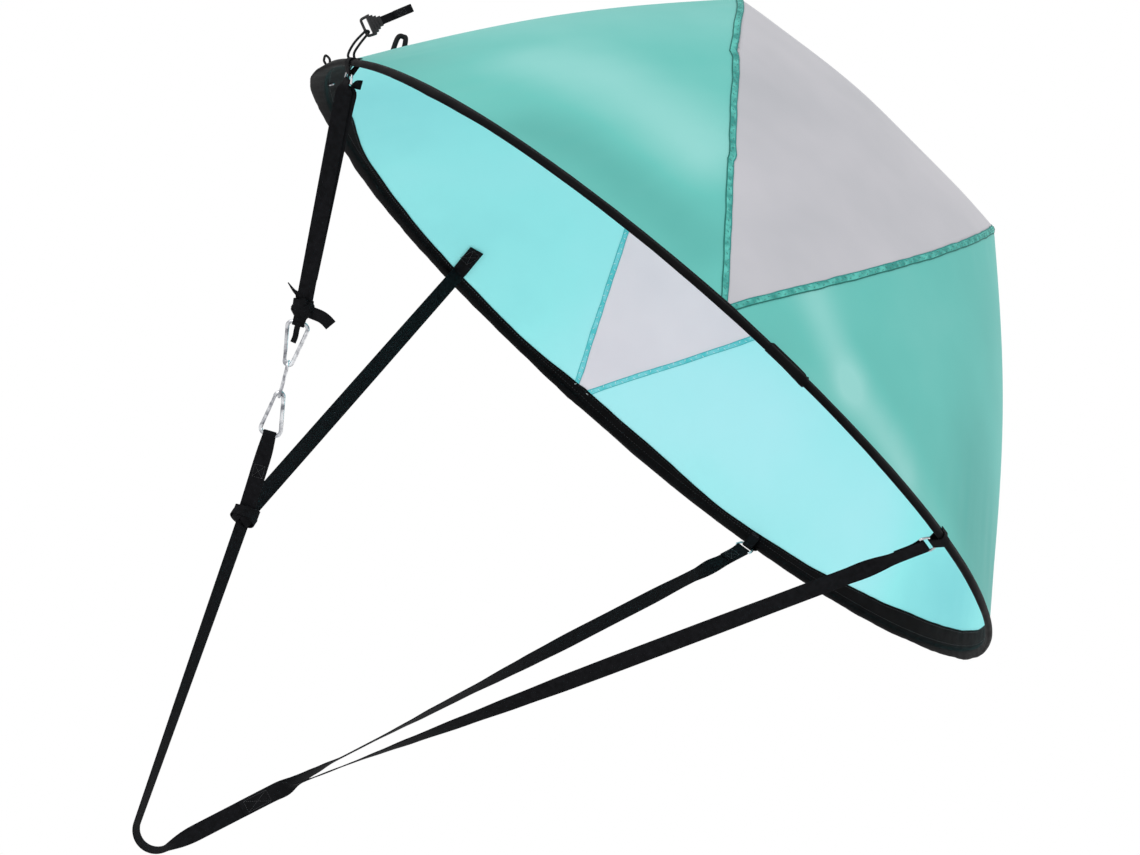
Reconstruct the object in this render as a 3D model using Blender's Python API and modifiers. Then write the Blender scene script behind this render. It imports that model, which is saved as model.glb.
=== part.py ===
"""Pop-up downwind sail for a canoe, in metres, +Z up.

A sprung hoop in a tape sleeve holds open a bowl of two cloth panels and a clear window.
Four webbing straps run from the rim to one hand loop. The two on the left join at a knot,
and one of them holds a pair of snap hooks. The origin is the hand loop's lowest point.
"""

from math import asin, atan2, cos, degrees, hypot, pi, radians, sin, sqrt, tan

import bmesh
import bpy
from mathutils import Matrix, Vector

# The hoop and its tape sleeve
HOOP_R = 0.5356
ROD_R = 0.0025
TUNNEL_R = 0.0035
SLEEVE_WALL = 0.0009
BAND_T = 0.0026
BAND_W = 0.026
BAND_SPREAD = 0.010
OUTER_LAP = 0.0095
HOOP_STEPS = 72
JOIN_DEG = 282.5
JOIN_GAP = 0.003
FERRULE_L = 0.036
FERRULE_FIT = 0.0001
LAP_FROM_DEG = 278.8
LAP_TO_DEG = 283.8
LAP_REACH = 0.012
LAP_T = 0.0009

# The bowl of cloth
SAIL_DEPTH = 0.419
DEPTH_POWER = 1.55
WINDOW_HALF = 0.212
WINDOW_END_HALF = 0.004
WINDOW_CROWN = 0.0157
BILLOW_LEFT = 0.0285
BILLOW_RIGHT = 0.030
CLOTH_T = 0.0008
SEAM_W = 0.010
SEAM_T = 0.0007
SEAM_GAP = 0.0004
CORNER_CUT = 0.010
PANEL_COLUMNS = 6
WINDOW_COLUMNS = 6

# Webbing, rings and their places round the rim
GAP = 0.0003
WEB_W = 0.020
WEB_T = 0.0014
TAB_W = 0.015
RING_WIRE_R = 0.0015
RING_TOP_HALF = 0.0100
RING_BASE_HALF = 0.0128
RING_H = 0.011
RING_CORNER_R = 0.0032
RING_DROP = 0.0125
TAB_INNER = 0.024
TAB_OUTER = 0.0115
SEWN_END = 0.0565
SEWN_LEAN_DEG = 2.6
NEAR_LEFT_DEG = 197.5
FAR_LEFT_DEG = 117.8
FAR_RIGHT_DEG = 57.5
NEAR_RIGHT_DEG = 312.5
FOLD_TAIL = 0.034
LEFT_TAIL = 0.020

# The bridle's places, measured from the hoop's centre
CHAIN_TOP = Vector((-0.3563, -0.033, -0.2515))
CHAIN_BOTTOM = Vector((-0.2482, 0.068, -0.4532))
JUNCTION = Vector((-0.2470, 0.070, -0.4630))
MERGE = Vector((0.0, 0.0, -0.697))
HAND_BEND = Vector((-0.0755, 0.0, -0.820))
HAND_BEND_R = 0.025
HAND_LEG_DEG = 21.8
SIDE = Vector((-0.05, -0.98, -0.19))
LAP_SEAM = 0.043

# The snap hooks and the link between them
HOOK_WIRE_R = 0.0025
HOOK_L = 0.055
HOOK_FLAT_HALF = 0.006
HOOK_CORNER_R = 0.0065
HOOK_NARROW_R = 0.005
HOOK_WIRE_END = 0.0012
NOSE_L = 0.0035
NOSE_GAP = 0.0005
PIVOT_IN = 0.005
TONGUE_T = 0.0020
TONGUE_W = 0.0040
TONGUE_L = 0.0070
GATE_R = 0.0023
GATE_BACK = 0.0024
SLOT_T = 0.0026
SLOT_L = 0.0065
PIN_R = 0.0007
PIN_FIT = 0.0001
LINK_WIRE_R = 0.00175
LINK_HALF_W = 0.005
LINK_PLAY = 0.0013
LINK_SPAN = 0.0375
HOOK_START = 0.006
WRAP_GAP = 0.0006
WRAP_W = 0.015

# The knots
UPPER_KNOT_R = Vector((0.0120, 0.0085, 0.0130))
LOWER_KNOT_R = Vector((0.0165, 0.0105, 0.0130))
KNOT_TAIL_SHARES = ((1.22, 0.45), (2.0, 0.42), (2.95, 1.15))
KNOT_CORNER_SHARES = ((-1.05, -0.46), (-1.55, -0.77), (-1.97, -1.31))
CORNER_WIDTH_SHARES = (0.40, 0.30, 0.20, 0.12, 0.05)
KNOT_WRAP_R = 0.0036
KNOT_SINK = 0.006

# The deck fastener and the cord loops
DECK_CORD_R = 0.0015
DECK_CORD_DEG = 195.6
BUCKLE_BAR_R = 0.0017
BUCKLE_HALF_W = 0.0130
BUCKLE_L = 0.023
BUCKLE_BODY_FROM = 0.0072
BUCKLE_T = 0.006
BUCKLE_END_HALF = 0.0062
BUCKLE_STEPS = 3
BUCKLE_FROM_RIM = Vector((-0.0125, -0.0060, 0.0430))
BUCKLE_AIM = Vector((0.41, 0.0, 0.91))
PULL_W = 0.010
PULL_T = 0.0016
PULL_L = 0.038
PULL_FOLD = 0.022
PULL_IN = 0.004
CORD_BAR_SHARE = 0.6
STOW_R = 0.003
STOW_PLACE_SHARE = (-0.8775, 0.224)
STOW_FOOT_GAP = 0.015
STOW_LEG_H = (0.018, 0.016)
STOW_TOP = (Vector((-0.0330, 0, 0.0460)), Vector((-0.0285, 0, 0.0550)), Vector((-0.0205, 0, 0.0520)))
HANG_R = 0.00125
HANG_DEG = 187.0
HANG_H = 0.010
EYELET_DEG = 172.5
EYELET_R = 0.0035
EYELET_HOLE_R = 0.0016
EYELET_T = 0.0010
EYELET_IN = 0.0105

# Points closer than this are one
WELD = 0.00001

STEP_DEG = 360.0 / HOOP_STEPS
CASING_R = TUNNEL_R + SLEEVE_WALL
HOOP_CENTRE = Vector(
    (-HAND_BEND.x, -HAND_BEND.y, HAND_BEND_R + WEB_T / 2 - HAND_BEND.z)
)


def clear_scene():
    for item in list(bpy.data.objects):
        bpy.data.objects.remove(item)


def collection(name):
    made = bpy.data.collections.new(name)
    bpy.context.scene.collection.children.link(made)
    return made


def material(name, color, roughness, metallic=0.0):
    made = bpy.data.materials.new(name)
    made.use_nodes = True
    shader = made.node_tree.nodes["Principled BSDF"]
    shader.inputs["Base Color"].default_value = (*color, 1.0)
    shader.inputs["Roughness"].default_value = roughness
    shader.inputs["Metallic"].default_value = metallic
    return made


def add_object(name, data, finish, matrix=None):
    """A part's object, placed in the hoop's frame."""
    made = bpy.data.objects.new(name, data)
    PARTS.objects.link(made)
    if finish is not None:
        data.materials.append(finish)
    made.parent = FRAME
    if matrix is not None:
        made.matrix_local = matrix
    return made


def make_cutter(item):
    item.hide_render = True
    item.display_type = "WIRE"
    PARTS.objects.unlink(item)
    CUTTERS.objects.link(item)
    return item


def boolean(target, other, operation):
    change = target.modifiers.new(operation.title(), "BOOLEAN")
    change.operation = operation
    change.solver = "EXACT"
    change.object = other
    return change


def mesh_of(name, rings, closed=False):
    """A skin through rings of points: capped at both ends, or joined into a loop."""
    mesh = bpy.data.meshes.new(name)
    shell = bmesh.new()
    rows = [[shell.verts.new(point) for point in ring] for ring in rings]
    sides = len(rings[0])
    pairs = list(zip(rows, rows[1:]))
    if closed:
        pairs.append((rows[-1], rows[0]))
    for low, high in pairs:
        for k in range(sides):
            nxt = (k + 1) % sides
            shell.faces.new((low[k], low[nxt], high[nxt], high[k]))
    if not closed:
        shell.faces.new(list(reversed(rows[0])))
        shell.faces.new(rows[-1])
    bmesh.ops.recalc_face_normals(shell, faces=shell.faces)
    shell.to_mesh(mesh)
    shell.free()
    return mesh


def loft(name, rings, finish, closed=False, matrix=None):
    return add_object(name, mesh_of(name, rings, closed), finish, matrix)


def sheet(name, rows, finish, thickness, offset=0.0):
    """A cloth sheet over rows of points, given its thickness by Solidify."""
    mesh = bpy.data.meshes.new(name)
    grid = bmesh.new()
    across = len(rows[0])
    bmesh.ops.create_grid(grid, x_segments=across - 1, y_segments=len(rows) - 1)
    grid.verts.ensure_lookup_table()
    for k, vertex in enumerate(grid.verts):
        vertex.co = rows[k // across][k % across]
    bmesh.ops.recalc_face_normals(grid, faces=grid.faces)
    if sum(face.normal.z for face in grid.faces) < 0:
        bmesh.ops.reverse_faces(grid, faces=grid.faces)
    grid.to_mesh(mesh)
    grid.free()
    mesh.shade_smooth()
    made = add_object(name, mesh, finish)
    shell = made.modifiers.new("Thickness", "SOLIDIFY")
    shell.thickness = thickness
    shell.offset = offset
    return made


def rod(name, points, radius, finish, cyclic=False, resolution=2, matrix=None):
    """A round wire, cord or rod along a line of points, with filled ends."""
    data = bpy.data.curves.new(name, "CURVE")
    data.dimensions = "3D"
    data.bevel_depth = radius
    data.bevel_resolution = resolution
    data.use_fill_caps = True
    line = data.splines.new("POLY")
    line.points.add(len(points) - 1)
    for spot, point in zip(line.points, points):
        spot.co = (*point, 1.0)
    line.use_cyclic_u = cyclic
    line.use_smooth = True
    return add_object(name, data, finish, matrix)


def as_mesh(item):
    """The same piece as a mesh with its caps welded, so that it can be cut or joined."""
    bpy.context.view_layer.update()
    seen = item.evaluated_get(bpy.context.evaluated_depsgraph_get())
    mesh = bpy.data.meshes.new_from_object(seen)
    shell = bmesh.new()
    shell.from_mesh(mesh)
    bmesh.ops.remove_doubles(shell, verts=shell.verts, dist=WELD)
    bmesh.ops.recalc_face_normals(shell, faces=shell.faces)
    shell.to_mesh(mesh)
    shell.free()
    name, matrix = item.name, item.matrix_local.copy()
    finish = item.data.materials[0] if item.data.materials else None
    mesh.materials.clear()
    bpy.data.objects.remove(item)
    return add_object(name, mesh, finish, matrix)


def box(name, size, finish, matrix):
    mesh = bpy.data.meshes.new(name)
    shell = bmesh.new()
    bmesh.ops.create_cube(shell, size=1.0)
    bmesh.ops.scale(shell, vec=size, verts=shell.verts)
    shell.to_mesh(mesh)
    shell.free()
    return add_object(name, mesh, finish, matrix)


def cylinder(name, radius, length, finish, matrix, sides=16):
    mesh = bpy.data.meshes.new(name)
    shell = bmesh.new()
    bmesh.ops.create_cone(
        shell, cap_ends=True, segments=sides, radius1=radius, radius2=radius, depth=length
    )
    shell.to_mesh(mesh)
    shell.free()
    mesh.shade_smooth()
    mesh.set_sharp_from_angle(angle=radians(40))
    return add_object(name, mesh, finish, matrix)


def turned(name, profile, finish, matrix, steps=16):
    """A profile of (radius, height) points, turned once about its Z axis."""
    mesh = bpy.data.meshes.new(name)
    shell = bmesh.new()
    spots = [shell.verts.new((r, 0.0, z)) for r, z in profile]
    for k, spot in enumerate(spots):
        shell.edges.new((spot, spots[(k + 1) % len(spots)]))
    shell.to_mesh(mesh)
    shell.free()
    made = add_object(name, mesh, finish, matrix)
    spin = made.modifiers.new("Turn", "SCREW")
    spin.steps = steps
    spin.render_steps = steps
    spin.use_merge_vertices = True
    spin.merge_threshold = WELD
    return made


def frame_matrix(origin, x, y, z):
    turn = Matrix((x, y, z)).transposed().to_4x4()
    return Matrix.Translation(origin) @ turn


def square_to(direction, along):
    """The part of direction that is square to along, at unit length."""
    return (direction - along * direction.dot(along)).normalized()


def arc(centre, u, v, radius, start_deg, end_deg, count):
    """Points on an arc in the plane of u and v, angles from u towards v."""
    angles = [radians(start_deg + (end_deg - start_deg) * k / (count - 1)) for k in range(count)]
    return [centre + (u * cos(a) + v * sin(a)) * radius for a in angles]


def eased(points, radius, steps=4):
    """The same line with each inner corner rounded to the radius, where it has room."""
    line = [points[0]]
    for before, corner, after in zip(points, points[1:], points[2:]):
        back, on = before - corner, after - corner
        turn = back.angle(on)
        room = min(back.length, on.length) * 0.45
        cut = min(radius / max(tan(turn / 2), 0.01), room)
        start, end = corner + back.normalized() * cut, corner + on.normalized() * cut
        for k in range(steps + 1):
            t = k / steps
            line.append(start * (1 - t) ** 2 + corner * 2 * t * (1 - t) + end * t**2)
    line.append(points[-1])
    return line


def spline(points, count):
    """Even steps on a Catmull-Rom curve through the points."""
    line = []
    ends = [points[0] * 2 - points[1], *points, points[-1] * 2 - points[-2]]
    spans = len(points) - 1
    for k in range(count + 1):
        place = spans * k / count
        s = min(int(place), spans - 1)
        t = place - s
        a, b, c, d = ends[s : s + 4]
        slow, fast = a * 2 - b * 5 + c * 4 - d, b * 3 - a - c * 3 + d
        line.append((b * 2 + (c - a) * t + slow * t**2 + fast * t**3) / 2)
    return line


def tangents(line):
    ends = [line[0] * 2 - line[1], *line, line[-1] * 2 - line[-2]]
    return [(c - a).normalized() for a, c in zip(ends, ends[2:])]


def ribbon_rings(line, across, width, thickness):
    """Four corners at each point of a flat strap. across is one direction or one per point."""
    spread = across if isinstance(across, list) else [across] * len(line)
    widths = width if isinstance(width, list) else [width] * len(line)
    rings, last = [], None
    for point, along, aim, size in zip(line, tangents(line), spread, widths):
        side = square_to(aim, along)
        if last is not None and side.dot(last) < 0:
            side = -side
        last = side
        up = along.cross(side) * thickness / 2
        half = side * size / 2
        rings.append([point - half - up, point + half - up, point + half + up, point - half + up])
    return rings


def webbing(name, line, across, finish, width=WEB_W, thickness=WEB_T):
    return loft(name, ribbon_rings(line, across, width, thickness), finish)


def pocket_rings(line, across, width, count=3):
    """The last stretch of a strap, a gap larger all round, to be let into a knot."""
    way = (line[-1] - line[-2]).normalized()
    longer = [*line[:-1], line[-1] + way * GAP]
    return ribbon_rings(longer, across, width + 2 * GAP, WEB_T + 2 * GAP)[-count:]


def window_half(y):
    return WINDOW_END_HALF + (WINDOW_HALF - WINDOW_END_HALF) * (1 - (y / HOOP_R) ** 2)


def cloth_height(x, y):
    """The cloth's height over the hoop's plane: flat-backed bowl, creased at the window's seams."""
    chord = sqrt(max(HOOP_R**2 - y**2, 0.0))
    peak = SAIL_DEPTH * (1 - min(abs(y) / HOOP_R, 1.0) ** DEPTH_POWER)
    half = window_half(y)
    fade = chord / HOOP_R
    if abs(x) <= half:
        return peak + WINDOW_CROWN * fade**2 * (1 - (x / half) ** 2)
    share = (chord - abs(x)) / max(chord - half, GAP)
    billow = BILLOW_RIGHT if x > 0 else BILLOW_LEFT
    return peak * share + billow * fade**2 * sin(pi * share)


def cloth_point(x, y):
    return Vector((x, y, cloth_height(x, y)))


def rim_frame(deg):
    """Outward and along-the-rim directions at an angle round the hoop."""
    a = radians(deg)
    return Vector((cos(a), sin(a), 0.0)), Vector((-sin(a), cos(a), 0.0))


def lip_exact(deg, reach):
    """Point, inward direction and outward normal of the cloth at a distance in from the rod."""
    out, _ = rim_frame(deg)
    steps = 8
    radius = HOOP_R
    slope = 0.0
    probe = HOOP_R / 1000
    for k in range(steps + 1):
        here = out * radius
        inner = out * (radius - probe)
        rise = cloth_height(inner.x, inner.y) - cloth_height(here.x, here.y)
        slope = atan2(rise, probe)
        if k < steps:
            radius -= reach / steps * cos(slope)
    here = out * radius
    inward = Vector((-out.x * cos(slope), -out.y * cos(slope), sin(slope)))
    normal = Vector((out.x * sin(slope), out.y * sin(slope), cos(slope)))
    return Vector((here.x, here.y, cloth_height(here.x, here.y))), inward, normal


def facet_share(deg):
    """The facet that an angle falls in, and how far along its straight side."""
    low = int(deg // STEP_DEG) * STEP_DEG
    middle = low + STEP_DEG / 2
    return low, 0.5 + 0.5 * tan(radians(deg - middle)) / tan(radians(STEP_DEG / 2))


def lip(deg, reach):
    """As lip_exact, but on the hoop's straight facet between two steps."""
    low, t = facet_share(deg)
    first, second = lip_exact(low, reach), lip_exact(low + STEP_DEG, reach)
    point, inward, normal = (a.lerp(b, t) for a, b in zip(first, second))
    return point, inward.normalized(), normal.normalized()


def band_width(deg):
    """The sleeve's inner lap, widest at the sail's left and right ends."""
    return BAND_W + BAND_SPREAD * cos(radians(deg)) ** 2


def sleeve_outline(deg):
    """The sleeve's section at an angle: a round casing, a short outer lap and a wide inner one."""
    half, under = BAND_T / 2, CLOTH_T / 2 + GAP
    start, inward, normal = lip_exact(deg, 0.0)
    skew = degrees(asin(half / CASING_R))
    casing = arc(start, inward, normal, CASING_R, skew, 360 - skew, 10)
    short, _, short_out = lip_exact(deg, OUTER_LAP)
    wide, _, wide_out = lip_exact(deg, band_width(deg))
    inner = [wide - wide_out * half, wide - wide_out * under, short - short_out * under]
    return [short + short_out * half, *casing, *inner]


def on_facet(section, deg):
    """A section on the hoop's straight facet, between the sections at its two ends."""
    low, t = facet_share(deg)
    return [a.lerp(b, t) for a, b in zip(section(low), section(low + STEP_DEG))]


def hoop_angles():
    """The hoop's steps, once round from the sleeve's join."""
    first = int(JOIN_DEG // STEP_DEG) + 1
    return [(first + k) * STEP_DEG for k in range(HOOP_STEPS)]


def build_hoop():
    gap_deg = degrees(JOIN_GAP / HOOP_R) / 2
    steps = hoop_angles()

    def rod_spot(deg):
        return [rim_frame(deg)[0] * HOOP_R]

    ends_deg = degrees(GAP / HOOP_R)
    line = [on_facet(rod_spot, JOIN_DEG + ends_deg)[0]]
    line += [rod_spot(deg)[0] for deg in steps]
    line.append(on_facet(rod_spot, JOIN_DEG - ends_deg)[0])
    rod("hoop_rod", line, ROD_R, STEEL, resolution=1)

    _, along = rim_frame(JOIN_DEG)
    out = rim_frame(JOIN_DEG)[0]
    middle = on_facet(rod_spot, JOIN_DEG)[0]
    inner, outer, half = ROD_R + FERRULE_FIT, TUNNEL_R - GAP, FERRULE_L / 2
    profile = [(outer, half), (outer, -half), (inner, -half), (inner, half)]
    turned("hoop_ferrule", profile, BRASS, frame_matrix(middle, out, Vector((0, 0, -1)), along))

    rings = [on_facet(sleeve_outline, JOIN_DEG + gap_deg)]
    rings += [sleeve_outline(deg) for deg in steps]
    rings.append(on_facet(sleeve_outline, JOIN_DEG - gap_deg))
    sleeve = loft("rim_sleeve", rings, TAPE)

    def disc(deg):
        out, _ = rim_frame(deg)
        return arc(out * HOOP_R, out, Vector((0, 0, 1)), TUNNEL_R, 0, 315, 8)

    tunnel = loft("sleeve_tunnel", [disc(deg) for deg in steps], None, closed=True)
    boolean(sleeve, make_cutter(tunnel), "DIFFERENCE")


def lap_outline(deg):
    """The loose lap of tape over the sleeve's join: a folded strip round the casing."""
    start, inward, normal = lip_exact(deg, 0.0)
    end, _, turn = lip_exact(deg, LAP_REACH)
    skin = []
    for depth in (GAP, GAP + LAP_T):
        half, radius = BAND_T / 2 + depth, CASING_R + depth
        skew = degrees(asin(half / radius))
        path = [end + turn * half, *arc(start, inward, normal, radius, skew, 360 - skew, 10)]
        path.append(end - turn * half)
        skin.append(path)
    return skin[0] + list(reversed(skin[1]))


def build_lap():
    first = int(LAP_TO_DEG // STEP_DEG) * STEP_DEG
    rings = [on_facet(lap_outline, LAP_FROM_DEG), lap_outline(first), on_facet(lap_outline, LAP_TO_DEG)]
    loft("sleeve_lap", rings, TAPE)


def cloth_edge(deg, reach=None):
    """A place on the cloth over the sleeve's inner lap: its edge, unless a reach is given."""
    if reach is None:
        low, t = facet_share(deg)
        reach = band_width(low) * (1 - t) + band_width(low + STEP_DEG) * t
    return lip(deg, reach)[0]


def corner_deg(side):
    """The angle, up from the sail's side, where a panel's edge has narrowed to its cut corner."""
    low, high = 80.0, 90.0
    for _ in range(40):
        middle = (low + high) / 2
        edge = cloth_edge(middle if side > 0 else 180.0 - middle)
        if abs(edge.x) - window_half(edge.y) > CORNER_CUT:
            low = middle
        else:
            high = middle
    return low


def panel_angles(side):
    corner = corner_deg(side)
    count = int(corner // STEP_DEG)
    inner = [k * STEP_DEG for k in range(-count, count + 1)]
    return [-corner, *inner, corner]


def panel_rows(side):
    """Rows of a panel, each from between the sleeve's laps to the seam."""
    rows = []
    for rise in panel_angles(side):
        deg = rise if side > 0 else 180.0 - rise
        edge = cloth_edge(deg)
        seam = side * (window_half(edge.y) + SEAM_GAP / 2)
        shares = [k / PANEL_COLUMNS for k in range(1, PANEL_COLUMNS + 1)]
        row = [cloth_point(edge.x + (seam - edge.x) * t, edge.y) for t in shares]
        rows.append([cloth_edge(deg, OUTER_LAP + GAP), edge, *row])
    return rows


def tip_row(end, shares, reach):
    """A row of the window over the sleeve's inner lap, at the near or far end."""
    tip = cloth_edge(end * 90.0, reach)
    side = cloth_edge(end * (90.0 - STEP_DEG), reach)
    half = window_half(tip.y) - SEAM_GAP / 2
    row = []
    for t in shares:
        spot = tip.lerp(side, abs(half * t / side.x))
        row.append(Vector((spot.x if t > 0 else -spot.x, spot.y, spot.z)))
    return row


def window_rows():
    """Rows of the window, the first and last two along the sleeve's inner lap."""
    shares = [2 * k / WINDOW_COLUMNS - 1 for k in range(WINDOW_COLUMNS + 1)]
    rows = []
    for rise in panel_angles(1):
        y = cloth_edge(rise).y
        reach = window_half(y) - SEAM_GAP / 2
        rows.append([cloth_point(reach * t, y) for t in shares])
    for reach in (None, OUTER_LAP + GAP):
        rows = [tip_row(-1, shares, reach), *rows, tip_row(1, shares, reach)]
    return rows


def cloth_normal(x, y, step):
    """The cloth's upward normal, from its slopes on one side of the point."""
    rise_x = (cloth_height(x + step, y) - cloth_height(x, y)) / step
    dy = abs(step) if y < 0 else -abs(step)
    rise_y = (cloth_height(x + step, y + dy) - cloth_height(x + step, y)) / dy
    return Vector((-rise_x, -rise_y, 1.0)).normalized()


def seam_rows(side):
    """The binding over a seam: a strip that lies on the panel, the crease and the window."""
    probe = SEAM_W / 10
    rows = []
    for rise in panel_angles(side):
        y = cloth_edge(rise if side > 0 else 180.0 - rise).y
        x = side * window_half(y)
        on_panel, on_window = cloth_normal(x, y, side * probe), cloth_normal(x, y, -side * probe)
        lift = CLOTH_T / 2 + GAP
        slope = hypot(on_panel.x, on_panel.z)
        reach = SEAM_W / 2 * on_panel.z / slope
        outer = cloth_point(x + side * reach, y) + on_panel * lift
        inner = cloth_point(x - side * SEAM_W / 2, y) + on_window * lift
        crease = (on_panel + on_window).normalized()
        ridge = cloth_point(x, y) + crease * (lift / crease.dot(on_panel))
        rows.append([outer, ridge, inner])
    return rows


def build_cloth():
    sheet("panel_right", panel_rows(1), TEAL, CLOTH_T)
    sheet("panel_left", panel_rows(-1), TEAL, CLOTH_T)
    sheet("window", window_rows(), CLEAR, CLOTH_T)
    sheet("seam_right", seam_rows(1), BINDING, SEAM_T, offset=1.0)
    sheet("seam_left", seam_rows(-1), BINDING, SEAM_T, offset=1.0)


def ring_place(deg, target):
    """A rim ring's frame: origin on its top wire, aimed from the hoop at the target."""
    out, along = rim_frame(deg)
    hub = lip(deg, 0.0)[0]
    aim = (target - hub).normalized()
    across = square_to(along, aim)
    return hub + aim * RING_DROP, aim, across, across.cross(aim)


def ring_outline():
    """Half-round corners between the narrow top wire and the wide base wire, as (across, down)."""
    corners = [
        (-RING_TOP_HALF, 0.0),
        (RING_TOP_HALF, 0.0),
        (RING_BASE_HALF, RING_H),
        (-RING_BASE_HALF, RING_H),
    ]
    spots = [Vector((x, y, 0.0)) for x, y in corners]
    line = []
    for k, corner in enumerate(spots):
        back = (spots[k - 1] - corner).normalized()
        on = (spots[(k + 1) % len(spots)] - corner).normalized()
        cut = RING_CORNER_R
        start, end = corner + back * cut, corner + on * cut
        for t in (0.0, 1 / 3, 2 / 3, 1.0):
            line.append(start * (1 - t) ** 2 + corner * 2 * t * (1 - t) + end * t**2)
    return line


def build_ring(place, deg, target):
    """A wire ring, the webbing tab that holds it to the hoop, and where its strap starts."""
    top, aim, across, face = ring_place(deg, target)
    matrix = frame_matrix(top, across, aim, across.cross(aim))
    rod("ring_" + place, ring_outline(), RING_WIRE_R, CHROME, cyclic=True, matrix=matrix)

    _, along = rim_frame(deg)
    hub = lip(deg, 0.0)[0]
    lay = BAND_T / 2 + GAP + WEB_T / 2
    inside = [lip(deg, reach) for reach in (TAB_INNER, TAB_INNER * 0.75, CASING_R * 2.4)]
    inner = [p - n * lay for p, _, n in inside]
    outside = [lip(deg, reach) for reach in (CASING_R * 1.6, TAB_OUTER)]
    outer = [p + n * lay for p, _, n in outside]
    inward = inner[-1] - hub
    facing = face if face.dot(inward) > 0 else -face
    wrap_r = RING_WIRE_R + GAP + WEB_T / 2
    hook = arc(top, facing, aim, wrap_r, 0, 180, 7)
    around = CASING_R + GAP + WEB_T / 2
    start, rim_in, rim_out = lip(deg, 0.0)
    chord = hook[-1] - hub
    lean = atan2(chord.dot(rim_out), chord.dot(rim_in))
    spare = asin(around / hypot(chord.dot(rim_out), chord.dot(rim_in)))
    leave = (degrees(lean + spare) - 90) % 360
    casing = arc(hub, rim_in, rim_out, around, leave, 30, 9)
    line = inner[:2] + eased([inner[1], inner[2], hook[0]], WEB_W / 4)[1:-1]
    spread = [along] * len(line) + [across] * len(hook)
    line += hook + casing + outer[1:]
    spread += [along] * (len(casing) + 1)
    webbing("tab_" + place, line, spread, WEB, width=TAB_W)
    return top + aim * RING_H, aim, across, facing


def strap_from_ring(base, aim, across, face, tail=FOLD_TAIL):
    """Line of a strap folded over a ring's base wire, up to where it runs free."""
    wrap_r = RING_WIRE_R + GAP + WEB_T / 2
    main_side, tail_side = -face, face
    snug = main_side * wrap_r + tail_side * (WEB_T + GAP)
    tail_end = base + aim * tail + snug
    tail_near = base + aim * wrap_r * 4 + snug
    bend = arc(base, tail_side, -aim, wrap_r, 0, 180, 7)
    return [tail_end, tail_near, *bend, base + main_side * wrap_r + aim * tail * 1.15]


def blend_across(first, last, line, power=1.0):
    """Directions across a strap that turn from first to last along its line. A low power is early."""
    if first.dot(last) < 0:
        last = -last
    return [first.lerp(last, (k / (len(line) - 1)) ** power) for k in range(len(line))]


def twist(along, deg):
    """A direction across a strap: 90 shows its full face to the side view, 0 its edge."""
    flat = along.cross(SIDE).normalized()
    edge = flat.cross(along).normalized()
    return flat * sin(radians(deg)) + edge * cos(radians(deg))


def twisted(points, twists, count, first=None, last=None):
    """A smooth line through the points, and its directions across from a twist at each point."""
    line = spline(points, count)
    ways = tangents(line)
    across = []
    spans = len(points) - 1
    for k, along in enumerate(ways):
        place = spans * k / count
        s = min(int(place), spans - 1)
        turn = twists[s] + (twists[s + 1] - twists[s]) * (place - s)
        across.append(twist(along, turn))
    ease = max(count // 5, 1)
    for end, target in ((0, first), (-1, last)):
        if target is None:
            continue
        for k in range(ease):
            place = k if end == 0 else len(line) - 1 - k
            share = 1 - k / ease
            aim = target if target.dot(across[place]) > 0 else -target
            across[place] = across[place].lerp(aim, share)
    return line, across


def chain_spot(distance):
    """A place on the line from the upper knot to the lower one."""
    return CHAIN_TOP + CHAIN_WAY * distance


def knot(name, centre, along, across, radii, pockets):
    """A pulled-down knot: a lump with a turn of webbing round it, let in where straps enter."""
    face = along.cross(across)
    matrix = frame_matrix(centre, across, face, along)
    mesh = bpy.data.meshes.new(name)
    lump = bmesh.new()
    bmesh.ops.create_uvsphere(lump, u_segments=14, v_segments=9, radius=1.0)
    for vertex in lump.verts:
        lobes = 1 + 0.10 * sin(3 * atan2(vertex.co.y, vertex.co.x) + 4 * vertex.co.z)
        vertex.co = Vector((vertex.co.x * radii.x, vertex.co.y * radii.y, vertex.co.z * radii.z)) * lobes
    lump.to_mesh(mesh)
    lump.free()
    mesh.shade_smooth()
    made = add_object(name, mesh, WEB, matrix)
    side = Vector((0.94, 0.0, -0.35))
    wide = arc(Vector(), side, Vector((0, 1, 0)), 1.0, 0, 337.5, 16)
    turn = [Vector((p.x * radii.x * 1.02, p.y * radii.y * 1.02, p.z * radii.z)) for p in wide]
    wrap = rod(name + "_turn", turn, KNOT_WRAP_R, WEB, cyclic=True, resolution=1, matrix=matrix)
    boolean(made, make_cutter(as_mesh(wrap)), "UNION")
    for k, rings in enumerate(pockets):
        pocket = loft(f"{name}_pocket_{k}", rings, None)
        boolean(made, make_cutter(pocket), "DIFFERENCE")
    return made


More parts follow.
